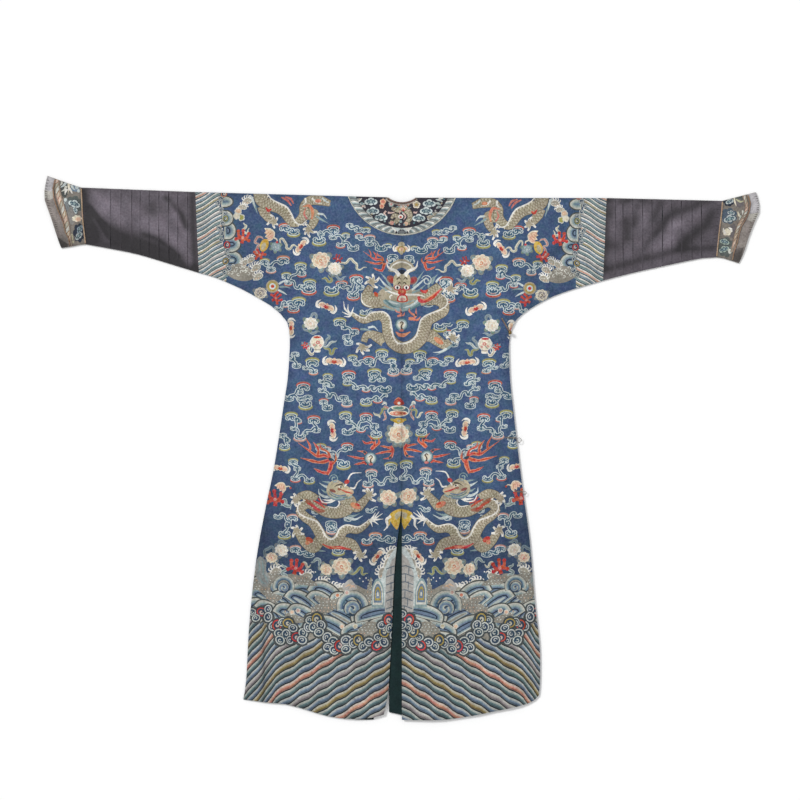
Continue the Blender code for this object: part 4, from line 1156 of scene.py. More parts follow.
# %% The profile dragon of the skirt, and the shoulder dragon
def side_dragon(work):
    streaks(work,
        all_marked("-151,842 -132,848 -111,840 | -146,851 -124,856 -103,846 | -234,932 -218,939 -202,941"),
        width=0.7)
    scaled_body(work, marked("-163,918 -146,919 -131,923 -119,938 -112,948"), [3.0, 3.0, 2.5, 1.8, 1.5])
    scaled_body(work, marked("-218,911 -235,929 -257,918 -272,899 -279,889"), [2.8, 3.2, 2.4, 1.8, 1.5])
    scaled_body(work, marked("-138,818 -118,823 -102,809 -90,795"), [3.0, 2.6, 2.0, 1.6])
    scaled_body(work, marked("-228,805 -248,792 -267,793 -280,802"), [2.6, 2.4, 1.8, 1.5])
    scaled_body(work, marked("-154,797 -139,812 -148,828 -172,838 -199,836 -221,826 -246,815 -264,821 "
                "-269,836 -256,851 -237,864 -223,883 -210,907 -187,920 -169,908 -157,888 -140,881 -118,884 "
                "-99,874 -85,861"),
        [3.6, 3.7, 3.5, 3.0, 2.8, 2.5, 2.3, 2.3, 2.3, 2.4, 2.5, 2.7, 2.9, 3.0, 2.7, 2.4, 2.2, 1.9, 1.4, 0.8])
    for line in all_marked("-261,802 -248,811 -232,821 | -236,827 -220,833 -204,834"):
        work.fill(strip(line, [0.3, 1.3, 0.4]), "salmon-")
    for line in all_marked("-251,812 -234,822 -218,833 | -236,806 -220,814 -204,826 | -223,800 -212,810 "
                "-199,816"):
        work.fill(strip(line, [0.25, 0.75, 0.3]), "red")
    work.fill(strip(marked("-212,921 -191,931 -164,931 -135,936"), [0.2, 0.7, 0.9, 0.3]), "red")
    work.fill(strip(marked("-191,927 -175,932 -159,930"), [0.2, 0.6, 0.2]), "salmon")
    work.fill(oval(-12.3, 82.0, 1.5, 0.75, 25), "salmon")
    work.fill(oval(-11.8, 81.7, 0.7, 0.35, 25), "red")
    work.fill(oval(-24.6, 91.1, 1.1, 0.7, 30), "red")
    work.fill(oval(-25.1, 91.8, 0.6, 0.6), "salmon")
    spine(work, marked("-220,793 -211,810 -190,811 -173,803 -166,814 -176,825 -197,822"), 0.36, 0.0)
    spine(work, marked("-256,805 -272,813 -277,830 -269,843 -250,853 -227,861 -214,878 -203,900 -188,909 "
                "-175,901 -167,883 -152,872 -135,872 -115,876 -98,866 -86,855"), lean=1)
    for tip, bow in (
            ((-5.1, 84.0), 0.2), ((-6.0, 83.5), 0.4), ((-7.0, 83.8), 0.3), ((-4.9, 85.5), -0.1),
            ((-6.2, 87.0), -0.4), ((-7.8, 87.6), -0.5)):
        root = np.array((-8.6, 86.0))
        work.fill(strip([root, (root + tip) / 2 + (0, bow), tip], [0.6, 0.42, 0.1], 5), "white")
    # The head, which looks towards the centre seam.
    streaks(work, all_marked("-175,789 -199,797 -219,788 -221,775 | -180,781 -202,784 -215,776 | -172,799 "
                "-191,806 -211,803 | -186,773 -203,769 -220,759 | -180,767 -194,758 -212,755"),
        ("pale", "mist", "white"), 0.75)
    work.fill(curve(marked("-202,775 -192,758 -174,751 -158,758 -148,766 -131,777 -128,786 -139,794 -155,806 "
                    "-178,806 -195,796 -202,775"), 4), "bright gold", 60)
    streaks(work, all_marked("-151,802 -172,805 -194,796 -199,785 | -144,796 -167,799 -188,791 -195,780 | "
                "-156,799 -178,801 -196,790 | -148,791 -167,794 -186,786 -192,776"),
        ("slate", "teal", "mist", "slate"), 0.42)
    streaks(work,
        all_marked("-167,757 -180,758 -191,768 | -156,762 -170,764 -183,772 | -132,794 -143,800 -154,802"),
        ("brown+", "gold--", "mist"), 0.4)
    work.fill(strip(marked("-159,773 -145,778 -130,782"), [0.3, 0.6, 0.3]), "peach")
    work.fill(strip(marked("-162,777 -148,783 -131,787"), [0.2, 0.5, 0.2]), "red")
    work.fill(oval(-18.4, 78.0, 0.9, 0.4, 20), "rose-")
    work.fill(oval(-16.6, 77.6, 0.5, 0.35, 0), "salmon-")
    work.fill(oval(-16.3, 77.0, 0.56, 0.36, 15), "ivory")
    work.fill(oval(-16.2, 77.0, 0.24, 0.26, points=8), "navy")
    work.fill(strip(marked("-171,766 -163,764 -154,768"), [0.15, 0.36, 0.15]), "brown")
    work.fill(strip(marked("-152,770 -144,755 -142,747 -132,734 -107,732"), [0.3, 0.45, 0.4, 0.35, 0.1], 5),
        "white")
    work.fill(strip(marked("-138,772 -126,773 -118,758 -107,750"), [0.4, 0.45, 0.3, 0.1], 5), "white")
    work.fill(oval(-14.6, 75.6, 0.75, 0.55, -30), "red")
    work.fill(band(spiral(-18.0, 74.8, 1.25, 0.3, 180, 1.4), [0.2, 0.36]), "mist")
    paw(work, (-28.2, 80.4), [(-29.6, 79.7), (-29.3, 81.4), (-28.0, 82.2), (-26.9, 81.5), (-28.8, 78.7)])
    paw(work, (-8.7, 79.0), [(-10.5, 77.9), (-9.4, 77.3), (-7.8, 77.4), (-6.8, 78.8), (-6.9, 80.8)])
    paw(work, (-28.0, 88.6), [(-29.5, 87.8), (-28.1, 87.1), (-26.4, 87.8), (-25.9, 89.5), (-28.9, 90.4)])
    paw(work, (-11.1, 95.1), [(-13.0, 94.5), (-12.6, 96.2), (-10.6, 96.8), (-9.2, 95.5), (-9.5, 93.7)])


def shoulder_dragon(work):
    scaled_body(work, marked("-255,44 -235,45 -234,63 -243,81"), [3.0, 3.0, 2.2, 1.5])
    scaled_body(work, marked("-372,23 -365,40 -353,56 -343,64"), [2.6, 2.6, 2.0, 1.4])
    scaled_body(work, marked("-378,-13 -373,7 -354,19 -329,28 -312,40 -301,57 -287,69 -270,59 -259,42 "
                "-260,23 -244,8 -218,7 -191,16"),
        [3.4, 3.2, 2.9, 2.6, 2.5, 2.1, 1.9, 2.1, 2.6, 2.2, 2.4, 2.6, 1.5])
    work.fill(strip(marked("-263,24 -246,22 -237,39 -240,58"), [0.3, 0.8, 0.8, 0.4]), "salmon")
    work.fill(strip(marked("-255,28 -260,43 -252,57"), [0.2, 0.5, 0.3]), "rose")
    work.fill(strip(marked("-362,26 -355,35 -347,30"), [0.3, 0.8, 0.3]), "red")
    streaks(work, all_marked("-397,11 -389,27 -384,44 | -402,-4 -394,12 -392,28 | -228,49 -213,59 -195,69 | "
                "-223,43 -209,45 -199,57"), width=0.6)
    spine(work, marked("-358,-10 -348,3 -331,13 -309,23 -296,39 -288,57 -279,69 -267,72 -253,60"), lean=1)
    for line in all_marked("-321,-1 -304,8 -294,22 | -311,-2 -296,3 -288,16"):
        work.fill(strip(line, [0.3, 0.7, 0.3]), "rose")
    streaks(work, all_marked("-257,1 -256,13 -269,23 | -212,0 -202,10 -191,15 | -239,1 -228,12 -212,16"),
        ("white", "pale"), 0.5)
    work.fill(oval(-22.3, 0.9, 0.8, 0.5), "salmon")
    paw(work, (-34.0, 6.4), [(-35.0, 4.5), (-33.1, 5.3), (-32.9, 7.2), (-33.8, 8.2), (-35.9, 7.3)], 0.9)
    paw(work, (-24.7, 8.5), [(-25.9, 6.9), (-26.3, 8.5), (-25.8, 9.9), (-24.4, 10.6), (-22.5, 9.1)], 0.9)

# %% [markdown]
# ## Sea and slanting stripes
#
# The hem shows deep water as slanting stripes that roll like a swell, with curling waves on top of them. A
# stripe is the space between two copies of one wavy line, one below the other, in five tones: a dark line,
# a light upper edge, a paler body colour, the full one and a shadow, so that it looks as round as a cord.

# %% Slanting stripes
STRIPE_PITCH = 1.86
STRIPE_DYES = (
    "stripe mustard", "stripe teal", "stripe blue", "stripe salmon", "stripe teal", "slate", "mauve",
    "stripe teal", "stripe blue",
)
STRIPE_KNOTS = (-46.0, -42.0, -39.0, -36.8, -35.6, -33.5, -31.0, 0.0, 6.0)
STRIPE_FALL = (56.5, 51.6, 47.9, 45.6, 43.6, 40.6, 39.2, 20.0, 16.3)
# how far down each strip of a stripe starts and ends, its dye where it isn't the stripe's, and its shade
CORD_TONES = (
    (0.0, 0.2, "furrow", ""), (0.2, 0.36, "", "++"), (0.36, 0.54, "", "+"), (0.54, 0.76, "", ""),
    (0.76, 1.0, "", "-"),
)


def stripe_line(x, start):
    """Drop of a stripe's upper edge at x, where start is its drop at the centre seam."""
    fall = np.interp(x, STRIPE_KNOTS, STRIPE_FALL) - 20.0
    return start + fall + 0.24 * np.sin(2 * math.pi * (x + 22.5) / 5.0 + 0.09 * start)


def stripe(work, xs, line, pitch, dye, tones=CORD_TONES):
    """One stripe under a wavy line, shaded as a cord."""
    for upper, lower, other, mark in tones:
        top = np.column_stack([xs, line + upper * pitch])
        bottom = np.column_stack([xs, line + lower * pitch])
        work.fill(np.vstack([top, bottom[::-1]]), other or dye + mark, 120, exact=True)


def slanting_stripes(work, foot):
    """Stripes from the foot of the waves to the hem."""
    xs = np.arange(-46.0, 1.5, 1.25)
    border = np.interp(xs, *foot) - 4.5
    for n in range(-30, 22):
        line = stripe_line(xs, 121.3 + n * STRIPE_PITCH)
        low = line > border
        if low.sum() > 1:
            stripe(work, xs[low], line[low], STRIPE_PITCH, STRIPE_DYES[n % 9])


# %% Waves, foam and curls
WAVE_DYES = (
    "foam shade-", "dry sand++", "mist+", "mist", "stripe blue", "deep-", "stripe blue", "mist+", "sand",
)


def wave(work, x, drop, across, down, turn=0.0, step=0.38):
    """A humped wave: a half-round of shaded silk, cut off below."""
    for i, dye in enumerate(WAVE_DYES):
        keep = i * step
        a, b = across - keep, down - keep
        if min(a, b) < 0.3:
            break
        angles = np.linspace(math.pi, 2 * math.pi, 15)
        top = np.column_stack([a * np.cos(angles), b * np.sin(angles)])
        foot = np.array([(a, 0.45 * b), (-a, 0.45 * b)])
        work.fill(Spot(x, drop, 1, turn).at(np.vstack([top, foot])), dye, 0)


def sector(x, drop, outer, inner, start, end, points=12):
    """Part of a ring between two turns, in degrees."""
    a = np.radians(np.linspace(start, end, points))
    arc = np.column_stack([np.cos(a), np.sin(a)])
    return np.vstack([arc * outer, arc[::-1] * inner]) + (x, drop)


def wave_curl(work, x, drop, radius):
    """A breaking wave: a thick arch over a smaller roll that winds into its own middle."""
    spot = Spot(x, drop, radius)
    for outer, inner, dye in (
            (1.04, 0.98, "foam shade"), (0.99, 0.88, "dry sand+"), (0.89, 0.81, "mist+"),
            (0.82, 0.74, "mist"), (0.75, 0.66, "stripe blue"), (0.67, 0.58, "sea")):
        work.fill(spot.at(sector(0, 0, outer, inner, 165, 388)), dye)
    work.fill(spot.at(oval(0.0, 0.1, 0.6, 0.52, points=14)), "deep")
    roll = spiral(0.02, 0.12, 0.43, 0.1, 140, 1.2, 12)
    for width, shift, dye in ((0.34, 0.0, "dry sand+"), (0.25, 0.02, "mist"), (0.14, 0.05, "stripe blue")):
        work.fill(spot.at(band(roll + (shift, shift), np.array([0.7, 1.0, 0.9, 0.6]) * width)), dye)


SAND_PITCH = 0.8         # from one row of curls to the next


def sand_bed(work, outline):
    """A patch of small curls of silver thread, row by row."""
    work.fill(outline, "sand", 30)
    low, high = outline.min(axis=0), outline.max(axis=0)
    for j, drop in enumerate(np.arange(low[1], high[1], SAND_PITCH)):
        xs = np.arange(low[0] + (j % 2) * SAND_PITCH * 0.6, high[0], SAND_PITCH * 1.2)
        places = np.column_stack([xs + 0.12 * np.sin(7.0 * xs + j), drop + 0.1 * np.sin(5.0 * xs)])
        for x, y in places[within(places, outline)]:
            turn = 360 * math.sin(x * 12.9 + y * 78.2)
            work.fill(oval(x, y, 0.36, 0.26, turn, 5), "foam shade" if (j + int(x * 3)) % 4 else "furrow+")
            work.fill(oval(x + 0.03, y - 0.03, 0.25, 0.16, turn, 4), "cream"
                if int(x * 5 + j) % 5 else "peach")


def foam(work, x, drop, size=1.0, turn=0.0, fingers=5):
    """Spray: a sandy crest with a fringe of small curled fingers."""
    spot = Spot(x, drop, size, turn)
    crest = curve(
        [(-1.8, 0.9), (-1.2, -0.1), (-0.2, -0.65), (0.9, -0.5), (1.3, 0.2), (0.7, 0.9), (-1.8, 0.9)], 2)
    work.fill(spot.at(crest * 1.08), "cream")
    work.fill(spot.at(crest * 0.9), "dry sand")
    for dx, dy in ((-0.8, 0.35), (0.0, 0.1), (0.6, 0.35), (-0.1, 0.6)):
        work.fill(spot.at(oval(dx, dy, 0.2, 0.15, points=6)), "peach" if dx < 0 else "cream")
    for i in range(fingers):
        a = -2.5 + i * 0.52
        root = np.array([0.85 * math.cos(a) + 0.1, 0.6 * math.sin(a)])
        d = np.array([math.cos(a + 0.2), math.sin(a + 0.1)])
        n = np.array([-d[1], d[0]])
        line = curve([root, root + 0.5 * d - 0.05 * n, root + 0.85 * d + 0.2 * n, root + 0.75 * d + 0.55 * n],
            3)
        work.fill(spot.at(band(line, [0.42, 0.32, 0.26, 0.08])), "white")


def ruyi_knot(work, x, drop, radius, dye="mist", turn=0.0):
    """One swirl of the cloud border under the waves."""
    warm = dye in ("red", "mustard", "salmon", "olive")
    ring = dye + "+" if warm else "grey blue+" if dye in ("mist", "pale", "mauve") else "mist+"
    work.fill(oval(x, drop, radius, radius * 0.88, turn, 11), "deep-")
    work.fill(oval(x, drop, radius * 0.88, radius * 0.76, turn, 11), dye if warm else ring + "+")
    work.fill(oval(x, drop, radius * 0.66, radius * 0.56, turn, 9), "deep")
    curl = spiral(x, drop, radius * 0.4, radius * 0.06, turn, 0.9, 9)
    work.fill(band(curl, np.array([1.0, 1.0, 0.7]) * radius * (0.26 if warm else 0.17)), ring + "+")

# %% [markdown]
# ## The ends of the blue sleeves
#
# Where the blue sleeve meets the dark one, a narrow panel repeats the hem turned on its side: slanting
# stripes, a chain of swirls and a row of waves that roll towards the body.

# %% Sleeve ends
SLEEVE_SWIRLS = (
    (-47.3, -1.0, 7, "salmon"), (-48.1, 0.3, 5.5, "mist"), (-48.9, 1.4, 5.5, "mauve"),
    (-48.1, 3.1, 5, "mist"), (-46.9, 4.2, 5, "mist"), (-46.9, 5.6, 6, "olive"), (-47.7, 6.8, 5, "mist"),
    (-48.6, 8.2, 5.5, "sea"), (-47.9, 9.5, 5.5, "mauve"), (-48.0, 11.2, 5, "mist"), (-46.5, 12.6, 7.5, "red"),
    (-46.4, 14.1, 5.5, "mist"), (-46.2, 15.7, 5, "mist"), (-46.9, 16.9, 6.5, "mustard"),
    (-46.0, 18.8, 6, "mist"), (-47.1, 19.9, 5.5, "sea"),
)
SLEEVE_WAVES = (
    (-47.1, 1.1, 1.7, 2.4), (-46.9, 5.5, 2.3, 2.3), (-46.3, 8.8, 2.6, 2.4), (-45.6, 12.4, 2.4, 2.9),
    (-45.4, 16.7, 2.8, 3.2),
)


PALE_TONES = (
    (0.0, 0.21, "deep-", ""), (0.21, 0.43, "white", ""), (0.43, 0.64, "", "+"), (0.64, 0.84, "", ""),
    (0.84, 1.0, "mist", ""),
)


SWIRL_UNIT, SWIRL_GROWTH = 0.133, 1.12   # radius for each unit of a swirl's width, and how much is added


def sleeve_end(work):
    """The panel at the end of the left blue sleeve."""
    pitch = 1.27
    xs = np.arange(-56.6, -45.8, 0.9)
    edge = np.array([spot[:2] for spot in SLEEVE_SWIRLS])
    for n in range(-7, 24):
        line = 3.05 + n * pitch - 0.60 * (xs + 54.75) + 0.14 * np.sin((xs + 54.0) * 1.15)
        left = xs < np.interp(line, edge[:, 1], edge[:, 0]) + 0.9
        if left.sum() > 1:
            stripe(work, xs[left], line[left], pitch, STRIPE_DYES[-n % 9], PALE_TONES)
    for x, drop, across, reach in SLEEVE_WAVES[::-1]:
        wave(work, x, drop, across, reach, 90, step=0.34)
    work.fill(
        curve(marked("-478,196 -457,183 -433,175 -412,182 -396,196 -386,211 -414,222 -446,217 -478,196"), 3),
        "sand", 30)
    for i in range(16):
        x, drop = -46.6 + 0.9 * (i % 8) + 0.4 * (i // 8), 18.6 + 1.3 * (i // 8) + 0.5 * math.sin(2.4 * i)
        work.fill(band(spiral(x, drop, 0.5, 0.16, 70 * i, 0.8, 8), 0.2), "cream")
    for spot, turn, size in (
            ((-40.3, 16.5), -35, 0.9), ((-38.9, 18.6), -30, 1.0), ((-38.3, 20.9), -30, 1.0),
            ((-41.9, 17.3), -50, 0.8), ((-41.2, 0.8), -20, 1.0), ((-42.3, 2.4), 10, 0.8)):
        foam(work, *spot, size, turn)
    for spot, dye in (((-43.5, 3.6), "peach"), ((-42.7, 5.3), "olive"), ((-43.9, 4.9), "ivory")):
        work.fill(scallop(*spot, 1.0, 5, 0.2), "cream")
        work.fill(scallop(*spot, 0.72, 5, 0.2), dye)
    for x, drop, width, dye in SLEEVE_SWIRLS:
        ruyi_knot(work, x, drop, width * SWIRL_UNIT * SWIRL_GROWTH, dye, 50 * drop)

# %% [markdown]
# ## Laying out the embroidery
#
# The places of the left half are listed one by one. The right half is its mirror image, but it was sewn by
# another hand on another panel: it sits up to 3 cm nearer the centre low down and a little lower at the
# shoulder, so each mirrored place is shifted by a small table.

# %% Clouds of the left half
CLOUDS = [
    "-311,78,35,r -288,95,37,y",
    "-220,118,40,y -215,99,24,- -182,83,37,r -183,108,27,- -149,100,24,y -163,128,27,r -129,137,37,-",
    "-139,72,24,- -115,88,29,- -95,86,27,y",
    "-114,102,24,r -85,108,32,p -86,125,29,- -55,137,40,- -36,128,21,y", "-365,170,29,y -348,194,29,p",
    "-350,182,19,- -315,165,37,o",
    "-269,182,35,y -266,205,27,r -307,207,29,y -302,229,24,r -268,234,19,- -247,248,43,r",
    "-245,227,37,y -263,238,16,-", "-187,250,45,y -160,230,35,r -138,247,21,- -121,216,40,r",
    "-121,216,21,- -111,242,27,- -129,264,37,r", "-327,298,27,- -310,286,24,p -274,276,40,y -288,298,35,r",
    "-165,330,37,y -153,349,21,- -126,355,29,r -146,369,29,- -142,389,29,-",
    "-284,415,27,- -292,432,21,- -280,450,29,-", "-238,437,40,y -255,455,24,- -235,465,27,o",
    "-131,426,29,y -119,444,27,- -88,431,32,r -79,448,21,- -53,413,37,y",
    "-53,427,19,- -27,434,27,y -22,451,21,- -22,466,35,p", "-197,476,29,y -212,491,24,- -188,503,21,-",
    "-262,502,40,r -271,521,24,- -300,537,32,- -256,554,40,y", "-250,530,29,- -271,536,19,-",
    "-201,497,24,- -212,515,27,- -194,531,21,- -155,531,32,- -146,549,32,p", "-208,542,27,r -198,562,35,-",
    "-141,471,40,r -145,494,27,y -122,508,24,- -95,512,24,r -79,503,21,- -45,514,43,-",
    "-73,466,40,y -79,488,21,- -54,487,27,-", "-45,525,19,- -64,540,27,r -95,546,35,y",
    "-236,382,21,- -247,406,19,-", "-294,581,37,y -275,597,21,r -287,616,24,- -271,639,37,p",
    "-234,590,37,r -227,622,27,- -257,629,19,-",
    "-150,579,37,y -140,600,24,- -122,615,24,- -95,583,37,r -73,605,29,- -68,633,35,y",
    "-122,615,21,- -144,626,37,-", "-109,618,27,r", "-317,631,27,- -305,648,21,- -312,665,32,y",
    "-216,663,32,y -199,669,24,p -178,687,27,- -145,662,35,r", "-178,687,21,- -155,713,40,y",
    "-289,702,29,y -278,724,24,- -283,750,29,r -246,754,32,y",
    "-81,732,35,p -90,764,32,p -55,763,24,- -22,753,27,- -29,714,37,y",
    "-329,851,29,- -290,851,32,p -303,875,21,- -312,899,37,y", "-188,866,37,- -186,887,35,p", "-230,838,24,-",
    "-85,835,27,-", "-30,914,35,- -70,901,37,o -93,917,32,r", "-169,943,37,y",
    "-283,934,32,p -271,948,19,- -247,952,35,-", "-248,859,24,p", "-144,857,24,-",
    "-336,340,21,- -327,365,24,-",
]
CENTRE_CLOUDS = [
    "-24,157,35,- -29,173,21,-", "19,159,32,- 26,173,21,-", "-99,308,29,y", "102,347,40,y", "70,286,32,-",
]

# %% Other signs of the left half
BATS = (
    (-26.8, 13.0, 3.1, -52), (-20.1, 29.1, 3.3, 22), (-18.0, 43.7, 3.5, 6), (-18.5, 62.0, 3.2, 82),
    (-29.5, 34.7, 3.0, 92), (-32.3, 72.1, 3.0, 10), (-6.5, 95.5, 3.0, -50),
)
PEONIES = ((-21.5, 16.7, 2.35, 0), (-3.6, 79.8, 2.15, 20), (-16.0, 98.1, 2.45, 0), (-20.1, 98.9, 1.6, 40))
CORALS = (
    (-42.3, 10.5, 1.9, 10), (-37.8, 15.1, 1.5, -20), (-33.4, 26.7, 1.5, 60), (-33.7, 80.1, 2.2, 0),
    (-28.2, 98.4, 2.1, 15),
)
RIBBONS = """
    ivory: -183,183 -164,176 -147,171 -134,165 -122,174 -121,187 -110,190 -93,186
    olive: -213,216 -204,213 -198,224 -187,218 -195,206
    grey blue: -194,200 -175,210 -160,217 -148,210
    grey blue: -247,321 -237,311 -226,315 -227,326
    grey blue: -263,346 -247,357 -231,359 -218,357
    ivory: -327,129 -321,112 -309,117 -308,133 -296,134 -286,128 -271,131
    pink: -368,111 -385,104 -389,117 -379,122
    pink: -369,127 -384,130 -388,142 -377,151
    ivory: -421,67 -413,75 -423,85 -410,94 -406,81
    olive: -140,995 -126,1003 -118,989 -107,988 -102,1003 -90,1000
    mist: -242,971 -228,963 -217,970 -220,983
    mist: -318,974 -309,986 -316,1000 -303,1007
    ivory: -270,980 -261,971 -252,982 -242,976
    mist: -322,820 -313,806 -304,817 -296,830
    slate: -370,959 -360,936 -346,931 -338,951
    slate: -335,928 -321,915 -305,918
    mist: -321,806 -307,823 -292,813
    ivory: -351,956 -337,966 -328,980
    yellow: -15,838 -29,846 -32,862 -41,875
"""

BAT_UNIT = 3.1           # the size in BATS at which a bat is sewn as it is drawn

LEFT = Needlework()
sleeve_end(LEFT)
for line in CLOUDS:
    cloud_chain(LEFT, line)
for dye, line in dyed_lines(RIBBONS):
    ribbon(LEFT, line, dye, 0.5, "pale" if dye == "mist" else "mist")
for spot in CORALS:
    coral(LEFT, Spot(*spot))
for x, drop, size, turn in BATS:
    bat(LEFT, Spot(x, drop, size / BAT_UNIT, turn))
for spot in PEONIES:
    peony(LEFT, Spot(*spot))
peony(LEFT, Spot(-17.8, 18.9, 1.75, 20), ("white", "ivory", "peach"))
peony(LEFT, Spot(-24.2, 33.5, 1.75, 10), ("white", "ivory", "peach"), "leaf")
peony(LEFT, Spot(-33.5, 13.1, 1.3, 10), ("mist", "grey blue", "pale"), "leaf")
peony(LEFT, Spot(-32.0, 93.8, 1.7, 20), ("white", "ivory", "peach"), "slate")
peony(LEFT, Spot(-34.6, 95.8, 1.5, 0), ("ivory", "peach", "red"), "slate")
peony(LEFT, Spot(-37.6, 25.4, 1.6, 0), ("ivory", "mauve", "brown"), "slate")
coral(LEFT, Spot(-17.0, 16.3, 1.1, 30), "brick")
crane(LEFT, Spot(-31.8, 77.2, 1.0, 20))
crane(LEFT, Spot(-35.1, 10.2, 1.15, 60))
LEFT.fill(oval(-36.6, 12.7, 1.15, 1.8, 20), "yellow")
LEFT.fill(oval(-36.8, 13.0, 0.6, 1.1, 20), "mustard+")
roundel(LEFT, Spot(-34.4, 23.6, 1.75, 0))
streaks(LEFT,
    all_marked("-327,230 -313,222 -297,221 | -325,238 -311,237 -295,241 | -329,246 -316,252 -305,259"),
    ("pale", "mist"), 0.55)
vase(LEFT, Spot(-22.5, 38.9, 1.0, 0))
flame(LEFT, Spot(-19.9, 73.7, 1.55, 0), "long")
flame(LEFT, Spot(-8.2, 67.0, 1.2, -8), "fork")
flame(LEFT, Spot(-11.7, 69.2, 1.2, 0), "comb")
flame(LEFT, Spot(-4.8, 67.8, 1.15, 180, True), "comb")
pearl(LEFT, Spot(-8.3, 69.4, 1.0, 0))
shoulder_dragon(LEFT)
side_dragon(LEFT)

# %% Signs across the centre
CENTRE = Needlework()
for line in CENTRE_CLOUDS:
    cloud_chain(CENTRE, line)
bat(CENTRE, Spot(-0.1, 13.6, 0.84, 0), "peach", "gold")
for spot, across, down, dye in (
        ((-0.1, 12.5), 0.9, 0.75, "bright gold"), ((-0.1, 13.9), 1.15, 1.0, "mustard"),
        ((-0.1, 13.8), 0.7, 0.6, "peach"), ((-0.1, 14.7), 0.5, 0.55, "bright gold")):
    CENTRE.fill(oval(*spot, across, down, points=9), dye)
flame(CENTRE, Spot(-5.4, 19.7, 0.98, 0), "long")
flame(CENTRE, Spot(6.8, 19.4, 0.98, 0, True), "long")
facing_dragon(CENTRE)
jewelled_jar(CENTRE, Spot(-0.9, 56.7, 1.0, 0))
CENTRE.fill(
    curve(marked("-27,836 -5,828 21,834 29,847 16,870 6,882 -3,858 -12,883 -25,870 -34,849 -27,836"), 4),
    "yellow")
CENTRE.fill(curve(marked("-21,842 -5,835 14,841 9,855 -3,847 -15,857 -21,842"), 4), "mustard+")
for line in all_marked("-29,847 -41,857 -38,874 -48,886 | 23,846 35,855 34,871 43,883"):
    CENTRE.fill(strip(line, [0.8, 0.7, 0.5, 0.15]), "white")

# %% The water
PLAN_SEAM, PLAN_SHOULDER, PLAN_SQUARE = 401.8, 197.5, 0.266


def squared(x, y):
    """A place on the water's squared plan, counted in squares of 2.66 mm, as (x, drop)."""
    return (x - PLAN_SEAM) * PLAN_SQUARE, (y - PLAN_SHOULDER) * PLAN_SQUARE


SEA = Needlework()
SEA_TOP = marked("-436,1036 -414,1025 -393,1033 -372,1012 -351,996 -319,1004 -281,1001 -255,1025 -218,1031 "
        "-186,1044 -159,1039 -127,1028 -90,1044 -63,1028 -42,991 -15,964 11,954")
SEA_FOOT = marked("11,1177 -15,1161 -47,1182 -79,1190 -119,1198 -156,1201 -183,1190 -212,1166 -244,1177 "
        "-276,1185 -308,1166 -340,1148 -372,1129 -404,1119 -436,1108")
slanting_stripes(SEA, SEA_FOOT[::-1].T)
SEA.fill(np.vstack([curve(SEA_TOP, 3), curve(SEA_FOOT, 3)]), "sand", 30)
for spot, turn in (
        ((-38.3, 99.6), -60), ((-33.7, 99.4), -30), ((-25.5, 100.7), -20), ((-21.2, 102.5), -20),
        ((-18.3, 103.9), 10), ((-16.2, 104.4), 0), ((-5.3, 99.6), -60), ((-4.7, 103.3), -50),
        ((-2.9, 94.6), -30), ((-3.7, 97.0), -50), ((-6.3, 105.7), -40)):
    foam(SEA, *spot, 1.25, turn)
WAVE_ROWS = """
    262,588,4.6,3.0,20 305,592,4.3,2.9,12 325,594,5.0,3.3,28 263,598,4.4,3.0,30 283,602,4.0,3.0,35
    303,604,5.6,3.2,36 322,604,4.8,3.0,40 345,602,4.4,2.6,25 256,610,3.6,3.4,50 271,614,5.2,3.0,40
    290,616,5.0,3.2,32 306,618,5.6,3.0,36 316,622,3.6,2.4,30 344,620,6.6,3.4,30 372,612,6.2,3.4,-20
    386,618,4.2,2.6,-25 334,628,5.6,2.8,30 360,630,5.4,2.8,-10 380,626,5.6,2.8,-25 352,640,4.8,2.4,-15
"""
for x, y, across, down, turn in (map(float, row.split(",")) for row in WAVE_ROWS.split()):
    wave(SEA, *squared(x, y), across, down, turn)
# Patches of sand between the waves, with small shells and a rock at the side.
SAND = all_marked("-430,1033 -398,1017 -372,1009 -345,999 -324,994 -332,1009 -348,1028 -348,1049 -335,1055 "
        "-316,1060 -327,1071 -340,1079 -361,1065 -383,1044 -409,1044 | -287,1009 -263,1004 -239,1017 "
        "-223,1033 -255,1031 -279,1028 | -234,1052 -207,1063 -178,1071 -180,1087 -204,1087 -228,1071 | "
        "-239,1081 -212,1081 -180,1076 -175,1089 -191,1103 -218,1111 -242,1105 | -311,1100 -287,1108 "
        "-260,1119 -255,1129 -281,1132 -303,1124 -311,1113 | -180,1060 -159,1060 -151,1073 -162,1089 "
        "-180,1095 -191,1081 | -111,1134 -79,1127 -53,1134 -42,1150 -63,1166 -95,1177 -119,1161 | -90,1017 "
        "-79,1012 -82,1071 -85,1092 -95,1071 | -236,1140 -212,1145 -202,1161 -218,1172 -239,1161")
for patch in SAND:
    sand_bed(SEA, curve(np.vstack([patch, patch[:1]]), 2))
wave_curl(SEA, -31.4, 103.4, 2.9)
wave_curl(SEA, -13.1, 108.8, 4.25)
wave(SEA, -7.4, 110.8, 5.6, 2.8, -14)
for spot, dye in (
        ((-17.1, 105.8), "salmon"), ((-29.2, 110.3), "peach"), ((-27.6, 109.9), "rose+"),
        ((-15.9, 114.1), "peach"), ((-12.4, 114.0), "mustard+"), ((-14.6, 105.1), "rose+")):
    SEA.fill(scallop(*spot, 0.75, 5, 0.25), "cream")
    SEA.fill(scallop(*spot, 0.5, 5, 0.25), dye)
SEA.fill(curve(marked("-162,1044 -154,1028 -138,1015 -127,1025 -119,1039 -138,1046 -162,1044"), 3), "mauve+")
for line in all_marked("-151,1036 -140,1030 -132,1033 | -140,1040 -130,1033 -124,1038"):
    SEA.fill(strip(line, [0.1, 0.5, 0.1], 3), "peach")
